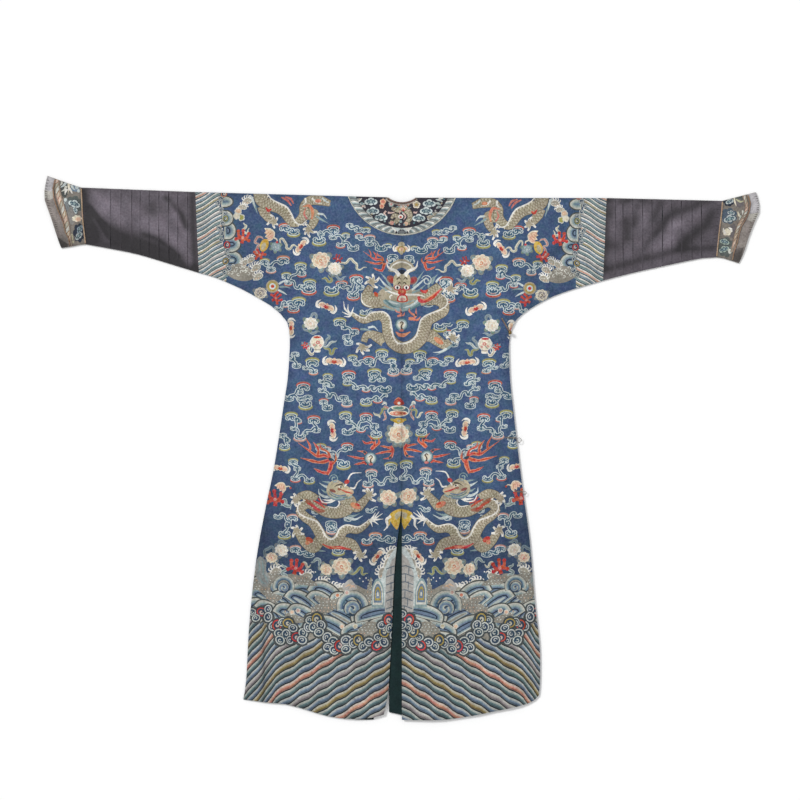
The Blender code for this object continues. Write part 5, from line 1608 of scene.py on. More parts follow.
for spot in ((-23.0, 99.6), (-11.2, 101.3), (-9.5, 101.2), (-10.3, 102.1), (-19.1, 100.7), (-15.1, 99.9)):
    SEA.fill(oval(*spot, 0.2, points=6), "white")
SEA.fill(
    curve(marked("-390,970 -377,954 -361,970 -361,991 -351,1017 -361,1036 -377,1028 -388,1007 -390,970"), 3),
    "deep+")
for line in all_marked("-383,964 -378,983 -383,1001 | -372,962 -368,986 -370,1004 | -380,1009 -372,1023 "
            "-361,1028 | -369,999 -361,1012 -356,1025"):
    SEA.fill(strip(line, [0.15, 0.5, 0.15], 3), "mist")
# The mountain that rises beside the vent, with its brocade pillar.
PILLAR = [(-1.6, 3.4), (-1.6, -1.0), (-0.9, -3.4), (0, -4.2), (0.9, -3.4), (1.6, -1.0), (1.6, 3.4)]
SEA.fill(curve(marked("-63,1097 -63,1044 -53,1007 -42,975 -26,943 -5,927 16,943 16,1103 -63,1097"), 2),
    "pale")
SEA.fill(marked("-45,1103 -42,1001 -26,964 -5,943 16,964 16,1103"), "mauve+")
for i in range(6):
    y = 566 + 8 * i
    SEA.fill(band([squared(386, y + 3), squared(394, y), squared(408, y + 2)], 0.28), "grey blue-")
    joint = 391 + 3 * (i % 2)
    SEA.fill(band([squared(joint, y), squared(joint, y + 8)], 0.24), "grey blue-")
for i, dye in enumerate(("mist", "cream", "slate", "mustard", "slate", "cream")):
    spot = Spot(-6.4, 105.5, 1 - 0.17 * i)
    SEA.fill(spot.at(curve(PILLAR, 3)), dye)
RUYI = """
    244,614,5,mist; 252,612,5,sea; 261.5,612,6,red; 268,609,5,mist; 256,618,5,sea; 268,617,6,pale;
    273,626,6,mist; 277,625,6.5,red; 282,622,5,teal; 288,623,6.5,mustard; 293,628,5.5,mist; 279,633,6,sea;
    286,634,6,mist; 280,640,6,sea; 290,640,5,mist; 296.8,637,6.5,red; 303,633,6,sea; 302,640,6,mist;
    308,627,6,mist; 310,620,5.5,sea; 317,619,7,mustard; 313,627,6,sea; 321,625,6,mist;
    319,632,6,grey blue; 327,637,6,mist; 333,641,6,sea; 328,647,6,mist; 334,650,6,sea; 339.6,646,7,red;
    346,640,6.5,mist; 346,649,6,sea; 353,643,6,mist; 358,640,6.5,mustard; 363,646,6,sea; 369,642,6,mist;
    377,645,7,red; 384,642,6,mist; 378,637,5,sea; 384,632,6.5,mustard; 382,625,5.5,mist; 389,620,7,red;
    390,628,6,sea; 394,635,6,mist; 396,644,5,sea; 396,625,5.5,mist; 401,633,6,sea; 396,614,5,mist;
    403,622,6,mist
"""
KNOT_BED, KNOT_SIZE = 0.31, 0.98     # a knot's grey bed in cm a square, and the knot beside its square
knots = []
for knot in RUYI.strip().split(";"):
    x, y, radius, dye = knot.split(",")
    knots.append((float(x), float(y), float(radius), dye))
for x, y, radius, _ in knots:
    SEA.fill(oval(*squared(x, y), radius * KNOT_BED, points=8), "foam shade-")
for x, y, radius, dye in knots:
    ruyi_knot(SEA, *squared(x, y), radius * PLAN_SQUARE * KNOT_SIZE, dye, 40 * x)

# %% The right half
SHIFT_DROP = np.array([8.6, 27.3, 35.2, 43.2, 48.5, 53.9, 67.2, 77.8, 85.8, 96.4, 107.1, 117.7, 128.3])
SHIFT_IN = np.array([0.27, 0.4, 0.27, 0.53, 1.33, 1.6, 1.6, 1.86, 2.1, 2.1, 2.5, 2.9, 2.4])
SHIFT_DOWN = np.array([0.67, 0.53, 0.53, 0.27, -0.5, -0.53, -0.53, -0.4, -0.27, -0.1, -0.1, 0.0, 0.0])


def to_right(points):
    drop = points[:, 1]
    return np.column_stack([-points[:, 0] - np.interp(drop, SHIFT_DROP, SHIFT_IN),
            drop + np.interp(drop, SHIFT_DROP, SHIFT_DOWN)])


RIGHT = LEFT.mapped(to_right)
SEA_RIGHT = SEA.mapped(lambda points: to_right(points) + (1.2, 0))
LEFT_WORK = SEA + LEFT + RIGHT + CENTRE
RIGHT_WORK = SEA_RIGHT + LEFT + RIGHT + CENTRE
print("shapes of silk:", len(LEFT_WORK.shapes), "and", len(RIGHT_WORK.shapes))

# %% [markdown]
# ## Collar, cuffs and sleeves
#
# The collar is a half-round of near-black satin with its own small dragon, clouds and flowers, and round it
# runs a border sewn to look like a twisted rope. Each turn of the rope is six strips of silk from grey and
# slate to white, so it reads as round. The cuffs repeat the collar's signs on olive brocade, beside a
# twisted edge.

# %% The collar's needlework
NECK = (0.0, -5.2)
ROPE_INNER, ROPE_OUTER = 13.3, 15.3


def knot_cloud(work, x, drop, across, pale="pale", dark="deep", turn=0):
    """A small cloud of curls."""
    spot = Spot(x, drop, across / 2, turn)
    for x, y, across, down in (
            (-0.5, 0.1, 0.5, 0.42), (0.5, 0.1, 0.5, 0.42), (0, -0.22, 0.48, 0.38), (0, 0.32, 0.4, 0.3)):
        for grow, dye in ((0.08, dark + "-"), (0.0, pale)):
            work.fill(spot.at(oval(x, y, across + grow, down + grow, points=10)), dye)
    work.fill(spot.at(oval(0, 0.02, 0.8, 0.3)), "mist")
    for lean in (-1, 1):
        curl = spiral(0, 0, 0.3, 0.05, 100, 1.0, 9) * (lean, 1) + (lean * 0.48, 0.08)
        work.fill(spot.at(band(curl, [0.1, 0.17, 0.13])), dark)
    work.fill(spot.at(strip([(-0.26, -0.12), (0, -0.3), (0.26, -0.12)], [0.06, 0.14, 0.06], 3)), dark)
    work.fill(spot.at(strip([(-0.3, 0.34), (0, 0.24), (0.3, 0.34)], [0.05, 0.12, 0.05], 3)), dark)


def collar_work():
    work = Needlework()
    for x, drop, across in (
            (-8.2, 1.0, 3.5), (-7.7, 3.5, 3.4), (-5.5, 5.2, 3.4), (7.3, 1.5, 3.5), (6.5, 3.5, 3.4),
            (4.5, 5.4, 3.5)):
        knot_cloud(work, x, drop, across)
    for dye, line in dyed_lines("""
            white: -120,14 -113,7 -106,2
            mist+: -115,20 -107,16 -98,17
            pink+: -110,30 -104,23 -97,22
            pale: 90,5 100,6 109,11
            mist+: 87,16 96,15 104,20
            mauve+: 91,29 98,25 107,25
            mauve+: -126,1 -118,6 -112,3
            white: 111,3 102,2 95,8
    """):
        work.fill(strip(line, [0.2, 0.8, 0.2]), "mist")
        work.fill(strip(line, [0.1, 0.55, 0.1]), dye)
    for x, drop, turn in ((-9.8, 4.5, 30), (8.8, 4.7, -30), (-8.8, 5.2, 30), (7.8, 5.3, -30)):
        for share, dye in ((1.15, "cream"), (0.9, "sand"), (0.55, "gold")):
            work.fill(Spot(x, drop, share, turn).at(scallop(0, 0, 1.0, 5, 0.24, 0.72)), dye)
    for x, drop, size, dyes in (
            (-5.0, 1.1, 0.85, ("peach", "salmon", "rose")), (-5.3, 2.3, 0.7, ("peach", "salmon", "rose")),
            (3.9, 1.9, 1.05, ("ivory", "gold", "mustard")), (-2.8, 1.8, 0.8, ("mist", "cream", "pink"))):
        for share, dye in zip((1.0, 0.74, 0.4), dyes):
            work.fill(scallop(x, drop, size * share, 5, 0.24, 1.0, 25), dye)
    for line, width in (
            (marked("18,58 22,48 15,35 3,29 -11,34 -27,28"), 1.5),
            (marked("-28,56 -21,48 -11,51 -12,61 -22,67 -31,63"), 1.15), (marked("9,70 18,61 26,56"), 1.1)):
        scaled_body(work, line, np.array([0.5, 0.95, 1.0, 0.9, 0.5]) * width, "gold", 0.55, 0.5)
    for turn in range(0, 360, 30):
        root = Spot(0.4, 2.6, 1.0, turn)
        work.fill(root.at(strip([(0.6, 0), (1.4, 0.25), (2.1, -0.1)], [0.6, 0.4, 0.1], 3)),
            ("mist", "pink+", "olive+")[turn // 30 % 3])
    for x, drop, size, dye in (
            (-0.6, 1.9, 0.5, "rose"), (1.4, 1.9, 0.5, "rose"), (0.4, 2.6, 1.3, "brown"),
            (0.4, 2.6, 1.2, "bright gold"), (0.4, 1.9, 0.55, "salmon+"), (-0.2, 2.4, 0.46, "brown"),
            (1.0, 2.4, 0.46, "brown"), (-0.2, 2.4, 0.36, "white"), (1.0, 2.4, 0.36, "white"),
            (-0.2, 2.4, 0.17, "navy"), (1.0, 2.4, 0.17, "navy"), (0.4, 3.2, 0.72, "brown"),
            (0.4, 3.1, 0.62, "peach"), (0.4, 3.4, 0.36, "brick"), (-0.3, 5.1, 0.8, "brown"),
            (-0.3, 5.1, 0.7, "white"), (-0.3, 5.2, 0.36, "red"), (-2.6, 6.8, 0.62, "pink"),
            (1.1, 7.0, 0.62, "peach"), (-0.3, 6.4, 0.42, "mist")):
        work.fill(oval(x, drop, size, size * 0.85, points=9), dye)
    for line in all_marked("-9,18 -14,11 -22,11 | 15,18 21,13 30,15 | -42,36 -47,42 -41,48 | 31,39 38,41 "
                "41,37 | -37,40 -28,41 -19,39 | 3,41 10,50 5,59"):
        work.fill(strip(line, [0.5, 0.4, 0.15]), "pink+")
    neck = curve(marked("-41,1 -31,9 -15,14 1,16 18,14 30,8 39,1"), 3)
    work.fill(band(neck, 0.95), "binding+")
    work.fill(band(neck, 0.16), "brown-")
    for i in range(24):
        angle = 0.105 * (i - 11.5)
        x, drop = NECK[0] + 12.6 * math.sin(angle), NECK[1] + 12.4 * math.cos(angle)
        work.fill(oval(x, drop, 0.3, 0.24, 24 * i, points=7), ("mist", "gold", "teal", "mauve+")[i % 4])
    return work


def rope_border():
    """Turns of rope, which lean the same way as they run up each side from the middle."""
    work = Needlework()

    def at(degrees, radius):
        angle = math.radians(degrees)
        return (NECK[0] + radius * math.sin(angle), NECK[1] + radius * math.cos(angle))

    def turn_of_rope(start, end, lean, tones):
        for upper, lower, dye in tones:
            a, b = start + (end - start) * upper, start + (end - start) * lower
            work.fill([at(a - lean[0], ROPE_INNER - 0.1), at(a - 0.3 * lean[0], ROPE_INNER + 0.9),
                    at(a, ROPE_OUTER + 0.1), at(b, ROPE_OUTER + 0.1), at(b - 0.3 * lean[1], ROPE_INNER + 0.9),
                    at(b - lean[1], ROPE_INNER - 0.1)], dye, 90)

    tones = (
        (0.0, 0.09, "foam shade"), (0.09, 0.2, "mist+"), (0.2, 0.5, "slate-+"), (0.5, 0.64, "mist"),
        (0.64, 0.82, "pale"), (0.82, 1.0, "white"),
    )
    for side in (-1, 1):
        for i in range(12):
            start = 8.2 + 7.3 * i
            lean = min(7.6, max(1.8, 7.6 - 0.09 * (start - 30)))
            turn_of_rope(side * start, side * (start + 7.3), (side * lean, side * lean), tones)
    middle = (
        (0.0, 0.14, "white"), (0.14, 0.3, "pale"), (0.3, 0.7, "mist+"), (0.7, 0.86, "pale"),
        (0.86, 1.0, "white"),
    )
    turn_of_rope(-8.2, 8.2, (-7.0, 7.0), middle)
    work.fill(oval(0, NECK[1] + 14.4, 1.0, 0.42), "slate-+")
    rim = np.array([at(d, 15.14) for d in np.linspace(-96, 96, 60)])
    work.fill(band(rim, 0.34), "cream")
    rim = np.array([at(d, 14.93) for d in np.linspace(-96, 96, 60)])
    work.fill(band(rim, 0.1), "olive-+")
    return work


# %% The cuffs' needlework
def twisted_edge(work, line, width, dyes):
    """Leaf-shaped turns laid one after another along a line."""
    route = curve(line, 8)
    side = normals(route)
    work.fill(band(route, 1.15 * width), "brown")
    work.fill(band(route, 0.95 * width), dyes[0] + "-+")
    step = 7
    for i in range(0, len(route) - step, 4):
        run = route[i:i + step] + side[i:i + step] * np.linspace(-0.32, 0.32, step)[:, None] * width
        dye = dyes[i // 4 % len(dyes)]
        work.fill(band(run, np.array([0.1, 0.62, 0.1]) * width), "binding")
        work.fill(band(run, np.array([0.05, 0.5, 0.05]) * width), dye)
        work.fill(band(run[1:-1], np.array([0.05, 0.2, 0.05]) * width), dye + "++")


def left_cuff():
    work = Needlework()
    for x, drop, rx, ry, dye in (
            (-87.2, 2.0, 2.4, 2.6, "cuff dark"), (-89.9, -2.3, 1.6, 2.4, "foam shade-"),
            (-88.0, 4.7, 1.6, 2.6, "mauve-+"), (-85.9, 9.4, 1.6, 2.6, "navy"),
            (-86.9, -2.5, 1.2, 1.0, "slate"), (-89.3, 2.0, 0.9, 2.0, "slate-+")):
        work.fill(Spot(x, drop).at(scallop(0, 0, 1.0, 7, 0.2) * (rx, ry)), dye)
    for dye, line in dyed_lines("""
            ivory: -887,-44 -886,-29 -888,-9
            white: -886,-25 -880,-18 -877,-10
            cream: -893,-31 -897,-21 -907,-16
            pale: -894,-40 -900,-32 -908,-27
            white: -891,-23 -895,-15 -896,-7
            pale: -879,-34 -875,-25 -869,-20
            cream: -904,-45 -905,-37 -911,-31
    """):
        work.fill(strip(line, [0.75, 0.5, 0.12]), dye)
    for x, drop, size in ((-89.5, 0.6, 0.42), (-86.5, -2.8, 0.5), (-86.0, -1.8, 0.4), (-89.9, 1.5, 0.3)):
        work.fill(oval(x, drop, size, size * 1.2), "pale")
    knot_cloud(work, -87.1, 1.6, 3.3, "pale", "deep", 20)
    knot_cloud(work, -86.8, 3.4, 1.8, "pale", "deep", 70)
    work.fill(scallop(-86.4, 5.6, 1.35, 7, 0.22, 0.7, 20), "ivory")
    work.fill(scallop(-86.1, 5.8, 0.8, 5, 0.22, 0.8), "peach")
    knot_cloud(work, -85.7, 8.4, 2.4, "grey blue", "navy", -60)
    knot_cloud(work, -86.0, 10.2, 2.5, "grey blue+", "navy", -50)
    work.fill(scallop(-88.2, 10.7, 0.7, 5, 0.2), "gold")
    for line in all_marked("-888,92 -879,100 -876,113 | -873,116 -880,122 -882,129"):
        work.fill(strip(line, [0.5, 0.6, 0.2]), "mustard+")
    twisted_edge(work, marked("-918,-52 -918,-31 -913,-4 -905,23 -897,49 -891,76 -888,102 -884,134"), 1.6,
        ("peach", "gold", "cream", "piping"))
    return work


def right_cuff():
    work = Needlework()
    for x, drop, rx, ry, dye in (
            (87.0, 4.9, 2.3, 2.2, "slate-"), (89.4, -0.0, 1.8, 1.1, "cuff dark"),
            (89.7, 1.5, 1.4, 1.2, "mauve-"), (86.2, 13.2, 2.2, 2.8, "cuff dark"),
            (87.0, 1.1, 1.5, 1.3, "navy"), (88.1, 8.9, 1.2, 2.0, "mauve-")):
        work.fill(Spot(x, drop).at(scallop(0, 0, 1.0, 7, 0.2) * (rx, ry)), dye)
    for dye, line in dyed_lines("""
            ivory: 885,-4 885,9 890,23
            olive+: 889,4 900,11 910,9
            leaf+: 891,-6 900,-9 909,-4
            ivory: 894,38 897,48 905,52
            white: 906,34 908,45 904,57
    """):
        work.fill(strip(line, [0.3, 0.5, 0.15]), dye)
    knot_cloud(work, 87.2, 1.0, 2.2, "pale", "deep", -20)
    knot_cloud(work, 87.2, 5.6, 3.3, "grey blue+", "deep", -15)
    knot_cloud(work, 87.6, 4.0, 2.0, "grey blue+", "deep", 10)
    work.fill(scallop(86.5, 9.2, 1.25, 5, 0.24, 0.8, 20), "ivory")
    for line in all_marked("855,81 857,89 861,97 | 869,80 876,84 877,92"):
        work.fill(strip(line, [0.2, 0.6, 0.4]), "white")
    knot_cloud(work, 85.9, 11.7, 2.7, "leaf+", "deep", 15)
    knot_cloud(work, 85.7, 13.7, 2.9, "leaf+", "deep", -20)
    work.fill(oval(87.3, 14.3, 0.5, 0.7), "cream")
    for line in all_marked("912,15 918,26 917,43 | 908,35 911,48 908,61 | 901,47 903,57 900,69 | 890,88 "
                "889,103 885,118 | 881,121 881,133 879,145"):
        work.fill(strip(line, [0.2, 1.15, 0.2]), "cream")
        work.fill(strip(line, [0.1, 0.8, 0.1]), "leaf++")
    twisted_edge(work, marked("907,-15 913,1 918,23 914,44 903,63 894,81 887,108 880,145"), 1.0,
        ("peach", "cream", "gold", "piping"))
    return work


# the soft patch, the silvery one, the dark one and the outer edge of each band
BAND_MARKS = {
    "left": ("-954,-31 -924,-28 -924,-1 -936,7 -952,-1",
        "-946,-68 -924,-63 -925,-20 -934,-16 -952,-21 -957,-41", "-920,102 -888,124 -888,156 -920,140",
        "-944,-55 -949,-20 -945,7 -936,39 -925,65 -917,92",), "right": ("916,28 955,25 947,57 932,65 913,57",
        "910,-25 945,-25 958,15 953,40 923,44 919,7", "873,140 910,132 900,172 873,166",
        "942,-9 952,17 946,44 935,70 926,97",),
}


def cuff_band(side):
    """The plain outer band: a lighter and a darker patch, one of silvery cloth, and small gathers along its
    edge in painted shade.
    """
    work = Needlework()
    out = 1 if side == "left" else -1
    soft, patch, dark, edge = map(marked, BAND_MARKS[side])
    work.fill(soft, "cuff band+")
    work.fill(patch, "silver cloth")
    work.fill(dark, "cuff band-")
    route = curve(edge, 9)
    # short dark strokes along the edge: painted shade for the gathers there
    for i in range(2, len(route) - 1, 2):
        work.fill(band([route[i], route[i] + (0.7 * out, 0.12)], [0.22, 0.06]), "cuff band--")
    return work


# %% The dark sleeves' tucks and gathers
TUCKS_LEFT = marked("-775,-25 -747,-25 -718,-25 -696,-25 -672,-25 -646,-25 -620,-25 -596,-25 -570,-25")
TUCKS_RIGHT = marked("568,1 589,1 615,1 641,1 666,1 693,1 718,1 744,1 772,1 797,1")


def sleeve_work(tucks, gather_x, gather_drops, lean):
    work = Needlework()
    # the tucks are thin dark lines of painted shade on their shaded side
    for x, drop in tucks:
        bend = 0.12 * math.sin(5 * x)
        work.fill(band([(x, drop - 1), (x + bend, drop + 8), (x - bend, drop + 24)], [0.05, 0.12, 0.06]),
            "tuck")
    # the gathers at the sleeve's end are short dark strokes of painted shade
    for i, drop in enumerate(gather_drops):
        reach = 0.9 + 0.5 * math.sin(2.7 * i)
        start = (np.interp(drop, (0, 12), gather_x), drop)
        work.fill(strip([start, (start[0] + lean * reach / 2, drop + 0.12), (start[0] + lean * reach, drop)],
                [0.3, 0.24, 0.05], 3), "tuck")
    return work


SLEEVE_LEFT = sleeve_work(TUCKS_LEFT, (-84.6, -83.7), np.arange(-1.0, 13.0, 1.15), 1)
SLEEVE_RIGHT = sleeve_work(TUCKS_RIGHT, (84.9, 83.6), np.arange(2.0, 14.0, 1.1), -1)
COLLAR, ROPE = collar_work(), rope_border()

# %% [markdown]
# ## Folds
#
# Cloth that has hung and then been laid out keeps soft folds: they run from the underarm towards the chest,
# stand a little over the hips and settle into long slow waves in the skirt. Each fold here is a line, how
# far it reaches to either side in centimetres, its height in millimetres (a trough is negative), and its
# tone: how much painted shade darkens or painted highlight lightens the cloth along it.

# %% Folds of each panel
def fold_table(text):
    """One fold a row: its points as x,drop in millimetres, then its reach, its height and its tone, a painted
    shade or highlight.
    """
    rows = [row.split() for row in text.strip().splitlines()]
    return [(marked(" ".join(row[:-3])), *map(float, row[-3:])) for row in rows]


BODY_FOLDS = fold_table("""
    -367,278 -311,225 -255,172  1.6 1.3 0.04
    -372,299 -313,257 -271,198  1.1 -0.6 -0.1
    -361,331 -292,289 -223,241  1.6 1.1 0.03
    -356,358 -297,326 -257,299  1.0 -0.5 -0.1
    365,278 309,225 253,172  1.6 1.3 0.04
    370,299 312,257 269,198  1.1 -0.6 -0.1
    354,331 288,289 221,241  1.6 1.1 0.03
    349,358 293,326 253,299  1.0 -0.5 -0.1
    -313,464 -239,480 -154,469  1.5 0.9 0.03
    -271,512 -191,528 -79,507  1.2 -0.5 -0.08
    75,475 181,485 293,464  1.5 0.9 0.03
    91,528 181,544 275,523  1.2 -0.5 -0.08
    -255,618 -281,858 -308,1087  3.4 2.0 0.05
    -212,645 -234,884 -250,1071  2.6 -0.7 -0.08
    -148,645 -154,884 -170,1124  3.2 1.8 0.05
    -95,672 -95,911 -106,1071  2.6 -0.7 -0.06
    -45,645 -42,911 -47,1177  2.6 1.6 0.04
    70,645 75,911 80,1177  3.0 1.6 0.04
    134,672 144,911 155,1097  2.6 -0.7 -0.08
    197,645 224,884 245,1124  3.2 1.8 0.05
    261,645 288,884 314,1071  2.6 -0.7 -0.06
    325,725 352,938 384,1150  2.8 1.6 0.04
    -404,932 -271,954 -151,943 -74,932  6.0 0.0 -0.12
    70,932 155,943 261,954 400,932  6.0 0.0 -0.12
    -367,1177 -368,1283 -369,1353  0.5 -0.8 -0.35
    -430,964 -404,1097 -398,1310  2.4 1.4 0.02
    -226,249 -207,249  0.4 -0.4 -0.2
    -252,283 -226,281  0.4 -0.4 -0.2
    -215,344 -186,331  0.4 -0.4 -0.2
    -452,17 -372,70 -297,92  2.2 1.3 0.03
    450,17 370,70 296,92  2.2 1.3 0.03
    -430,140 -372,172 -345,209  1.4 -0.6 -0.12
    429,140 370,172 344,209  1.4 -0.6 -0.12
    1,113 1,539 1,964  0.35 -0.5 -0.16
""")
LEFT_SLEEVE_FOLDS = fold_table("""
    -813,81 -776,94 -723,113 -670,132 -617,158 -558,201  2.3 0.0 -0.34
    -835,118 -776,132 -696,156 -617,188  2.0 0.0 -0.2
    -829,31 -811,49 -792,73 -774,102  0.8 -1.0 -0.42
    -816,65 -797,92 -782,113  1.0 1.2 0.16
    -627,-1 -606,23 -587,47 -577,76  0.8 -0.9 -0.36
    -614,17 -601,44 -585,76 -574,102  0.9 1.4 0.26
    -664,23 -662,39  1.5 0.0 -0.2
    -813,1 -800,23 -792,44  1.8 0.8 0.22
    -776,12 -760,33 -744,60  1.6 0.8 0.2
    -728,23 -712,44 -696,65  1.6 0.6 0.14
    -675,55 -664,76 -654,86  1.5 0.8 0.2
    -643,57 -627,84 -611,113  1.4 1.0 0.24
    -638,-12 -622,-4  0.8 0.5 0.14
    -848,-15 -835,39 -829,108  1.4 0.0 -0.34
    -686,97 -654,108 -622,129 -595,156  0.6 -0.6 -0.2
    -601,113 -579,140 -563,172  1.3 0.6 0.18
    -558,-15 -555,86 -550,188  0.8 0.0 -0.26
    -776,-20 -696,-15 -574,-7  1.0 0.4 0.05
""")
RIGHT_SLEEVE_FOLDS = fold_table("""
    548,-1 564,15 559,44  1.0 -0.6 -0.28
    583,12 602,7 623,-4  0.8 -0.7 -0.3
    596,63 599,84 599,105  1.3 -0.6 -0.34
    626,23 623,44 620,70  0.9 -0.8 -0.3
    639,7 663,12  0.8 -0.5 -0.26
    666,60 679,36 689,17  1.0 -0.8 -0.3
    687,86 705,57 729,39 769,28 807,7  1.4 -1.0 -0.36
    647,134 660,113 674,97  0.8 -0.6 -0.24
    745,121 780,94 809,73 822,41  1.7 0.0 -0.4
    538,193 634,166 729,140 825,134  1.0 0.0 -0.32
    559,126 580,132  1.6 0.0 -0.3
    543,7 543,113 538,188  0.8 0.0 -0.26
    570,23 570,49  1.2 0.7 0.2
    620,25 626,39  1.0 0.6 0.16
    647,44 650,70  1.2 0.8 0.2
    695,108 700,129  1.4 0.8 0.22
    721,76 719,124  1.2 0.9 0.26
    735,76 767,55 809,28  1.6 1.2 0.2
    588,134 602,150  1.2 0.5 0.16
    660,129 676,145  1.2 0.6 0.16
    564,92 575,108  1.1 0.4 0.12
""")
# Satin shows its folds strongly, so their painted shade and highlight are taken this much further on each
# sleeve.
for folds, tucks, depth in ((LEFT_SLEEVE_FOLDS, TUCKS_LEFT, 2.5), (RIGHT_SLEEVE_FOLDS, TUCKS_RIGHT, 1.9)):
    folds[:] = [(line, reach * 1.15, height, tone * depth) for line, reach, height, tone in folds]
    # the tucks also stand as low ridges, each painted a little lighter along its crest as painted highlight
    for x, drop in tucks:
        folds.append(([(x - 0.18, drop - 3), (x - 0.18, drop + 24)], 0.16, 0.7, 0.06))
CUFF_FOLDS = fold_table("""
    -893,-36 -877,44 -861,124  1.6 0.8 0.03
    900,-4 878,76 862,140  1.6 0.8 0.03
""")
BAND_FOLDS = fold_table("""
    -946,-57 -936,-41 -936,-20  1.6 0.4 0.22
    932,-15 942,17 934,39  1.6 0.4 0.2
    -909,116 -904,132 -899,145  2.0 0.0 -0.7
    -936,7 -920,55 -904,102  1.3 0.7 0.06
    921,55 905,102 894,145  1.6 0.7 0.04
    913,47 902,70 892,92  1.0 -0.3 -0.25
    897,158 902,174  1.8 0.0 -0.5
    940,15 924,23  0.4 -0.5 -0.25
    -915,92 -930,65  0.5 -0.3 -0.16
""")
LINING_FOLDS = fold_table("""
    -37,1017 -31,1177 -26,1337  1.6 0.8 0.08
    -10,1071 -10,1353  0.7 -0.4 -0.15
    22,1044 19,1337  1.2 0.5 0.05
""")

# %% [markdown]
# ## Dressing the panels
#
# Every solid of cloth now gets its needlework, its folds and its silk. The body carries the same layout on
# both halves, and the gore at the wearer's left side continues the left one. The front, which lies
# underneath, is plain satin. Narrow trims are dressed in the same way, but of one dye laid slantwise, so
# that they read as twisted cord, and they are rounded along their middle.

# %% Body, lining and front
PLAIN = Needlework()
BODY = (SILK, LINING)
for node, work in (("body_left", LEFT_WORK), ("body_right", RIGHT_WORK), ("side_gore_left", LEFT_WORK)):
    dress(node, "silk_" + node, work, BODY, folds=BODY_FOLDS)
dress("front_overlap", "silk_front_overlap", PLAIN, BODY, pitch=0.02)
dress("vent_lining", "silk_vent_lining", PLAIN, (LINING, LINING),
    ground="lining", folds=LINING_FOLDS, pitch=0.006)

# %% Collar, sleeves and cuffs
dress("collar", "silk_collar", COLLAR, BODY, "collar", pitch=0.005)
dress("collar_border", "silk_collar_border", ROPE, BODY, "collar",
    crown=0.0004, pitch=0.005)
for side, work, folds in (
        ("left", SLEEVE_LEFT, LEFT_SLEEVE_FOLDS), ("right", SLEEVE_RIGHT, RIGHT_SLEEVE_FOLDS)):
    node = "sleeve_" + side
    dress(node, "silk_" + node, work, (SATIN, LINING), "dark silk", folds,
        pitch=0.003, least=0.3)
for side, work in (("left", left_cuff()), ("right", right_cuff())):
    node = "cuff_" + side
    dress(node, "silk_" + node, work, (BROCADE, LINING), "cuff", CUFF_FOLDS,
        pitch=0.004)
    node = "cuff_band_" + side
    dress(node, "silk_" + node, cuff_band(side), (BROCADE, LINING), "cuff band",
        BAND_FOLDS, pitch=0.004)

# %% Narrow trims
TRIMS = (
    ("neck_binding", "brown_binding", "binding", 90), ("cuff_piping_left", "gold_cord", "piping", 60),
    ("cuff_piping_right", "gold_cord", "piping", 120), ("cuff_cord_left", "gold_cord", "cord", 60),
    ("cuff_cord_right", "gold_cord", "cord", 120), ("button_strap", "brown_binding", "binding", 30),
)
for node, slot, dye, grain in TRIMS:
    work = Needlework()
    work.fill([(-100, -10), (100, -10), (100, 60), (-100, 60)], dye, grain)
    if node == "button_strap":
        # a thin pale line along the strap's folded edge, as painted highlight
        work.fill(band(np.array([(26.62, 31.95), (28.6, 35.3)]), 0.2), "mist-+", grain)
    dress(node, "trim_" + node, work, (TWISTED, TWISTED), folds=(), crown=0.0005,
        pitch=0.0012)

# %% [markdown]
# ## Loops and button
#
# The loops are narrow silk cord of two plies. Each ply is a round tube swept along the loop's path while it
# winds about the middle, which is how such a cord is really made, and its twist shows even close up. The
# button is the usual small hollow brass ball. It starts as a sphere, every second meridian is pushed out in
# edit mode to rib it, and a ring on top takes the strap.

# %% Loops of two-ply cord
LOOPS = {
    "loop_upper": ((27.50, 63.85), (31.18, 64.55), 0.60),
    "loop_lower": ((30.08, 78.15), (32.62, 78.58), 0.46),
}
LOOP_CORD = 0.09         # half the cord's width, in centimetres
LOOP_APART = 0.105       # half the distance between its two lengths on the cloth
LOOP_LAY = 0.0042        # metres of cord to one turn of its plies


def loop_route(start, eye, radius):
    """(x, drop) out along the cloth, round the eye and back beside itself."""
    start, eye = np.array(start), np.array(eye)
    end = np.array([eye[0] - 1.15 * radius, start[1] + 0.15 * radius])
    run = start + (end - start) * np.linspace(0, 0.8, 5)[:, None]
    first, last = end - (0, LOOP_APART) - eye, end + (0, LOOP_APART) - eye
    begin = math.atan2(-first[1], first[0]) - math.radians(22)
    turn = (begin - math.atan2(-last[1], last[0]) - math.radians(14)) % (2 * math.pi)
    angles = begin - turn * np.linspace(0, 1, 13)
    ring = eye + radius * np.column_stack([np.cos(angles), -np.sin(angles)])
    return np.vstack([run - (0, LOOP_APART), ring, (run + (0, LOOP_APART))[::-1]])


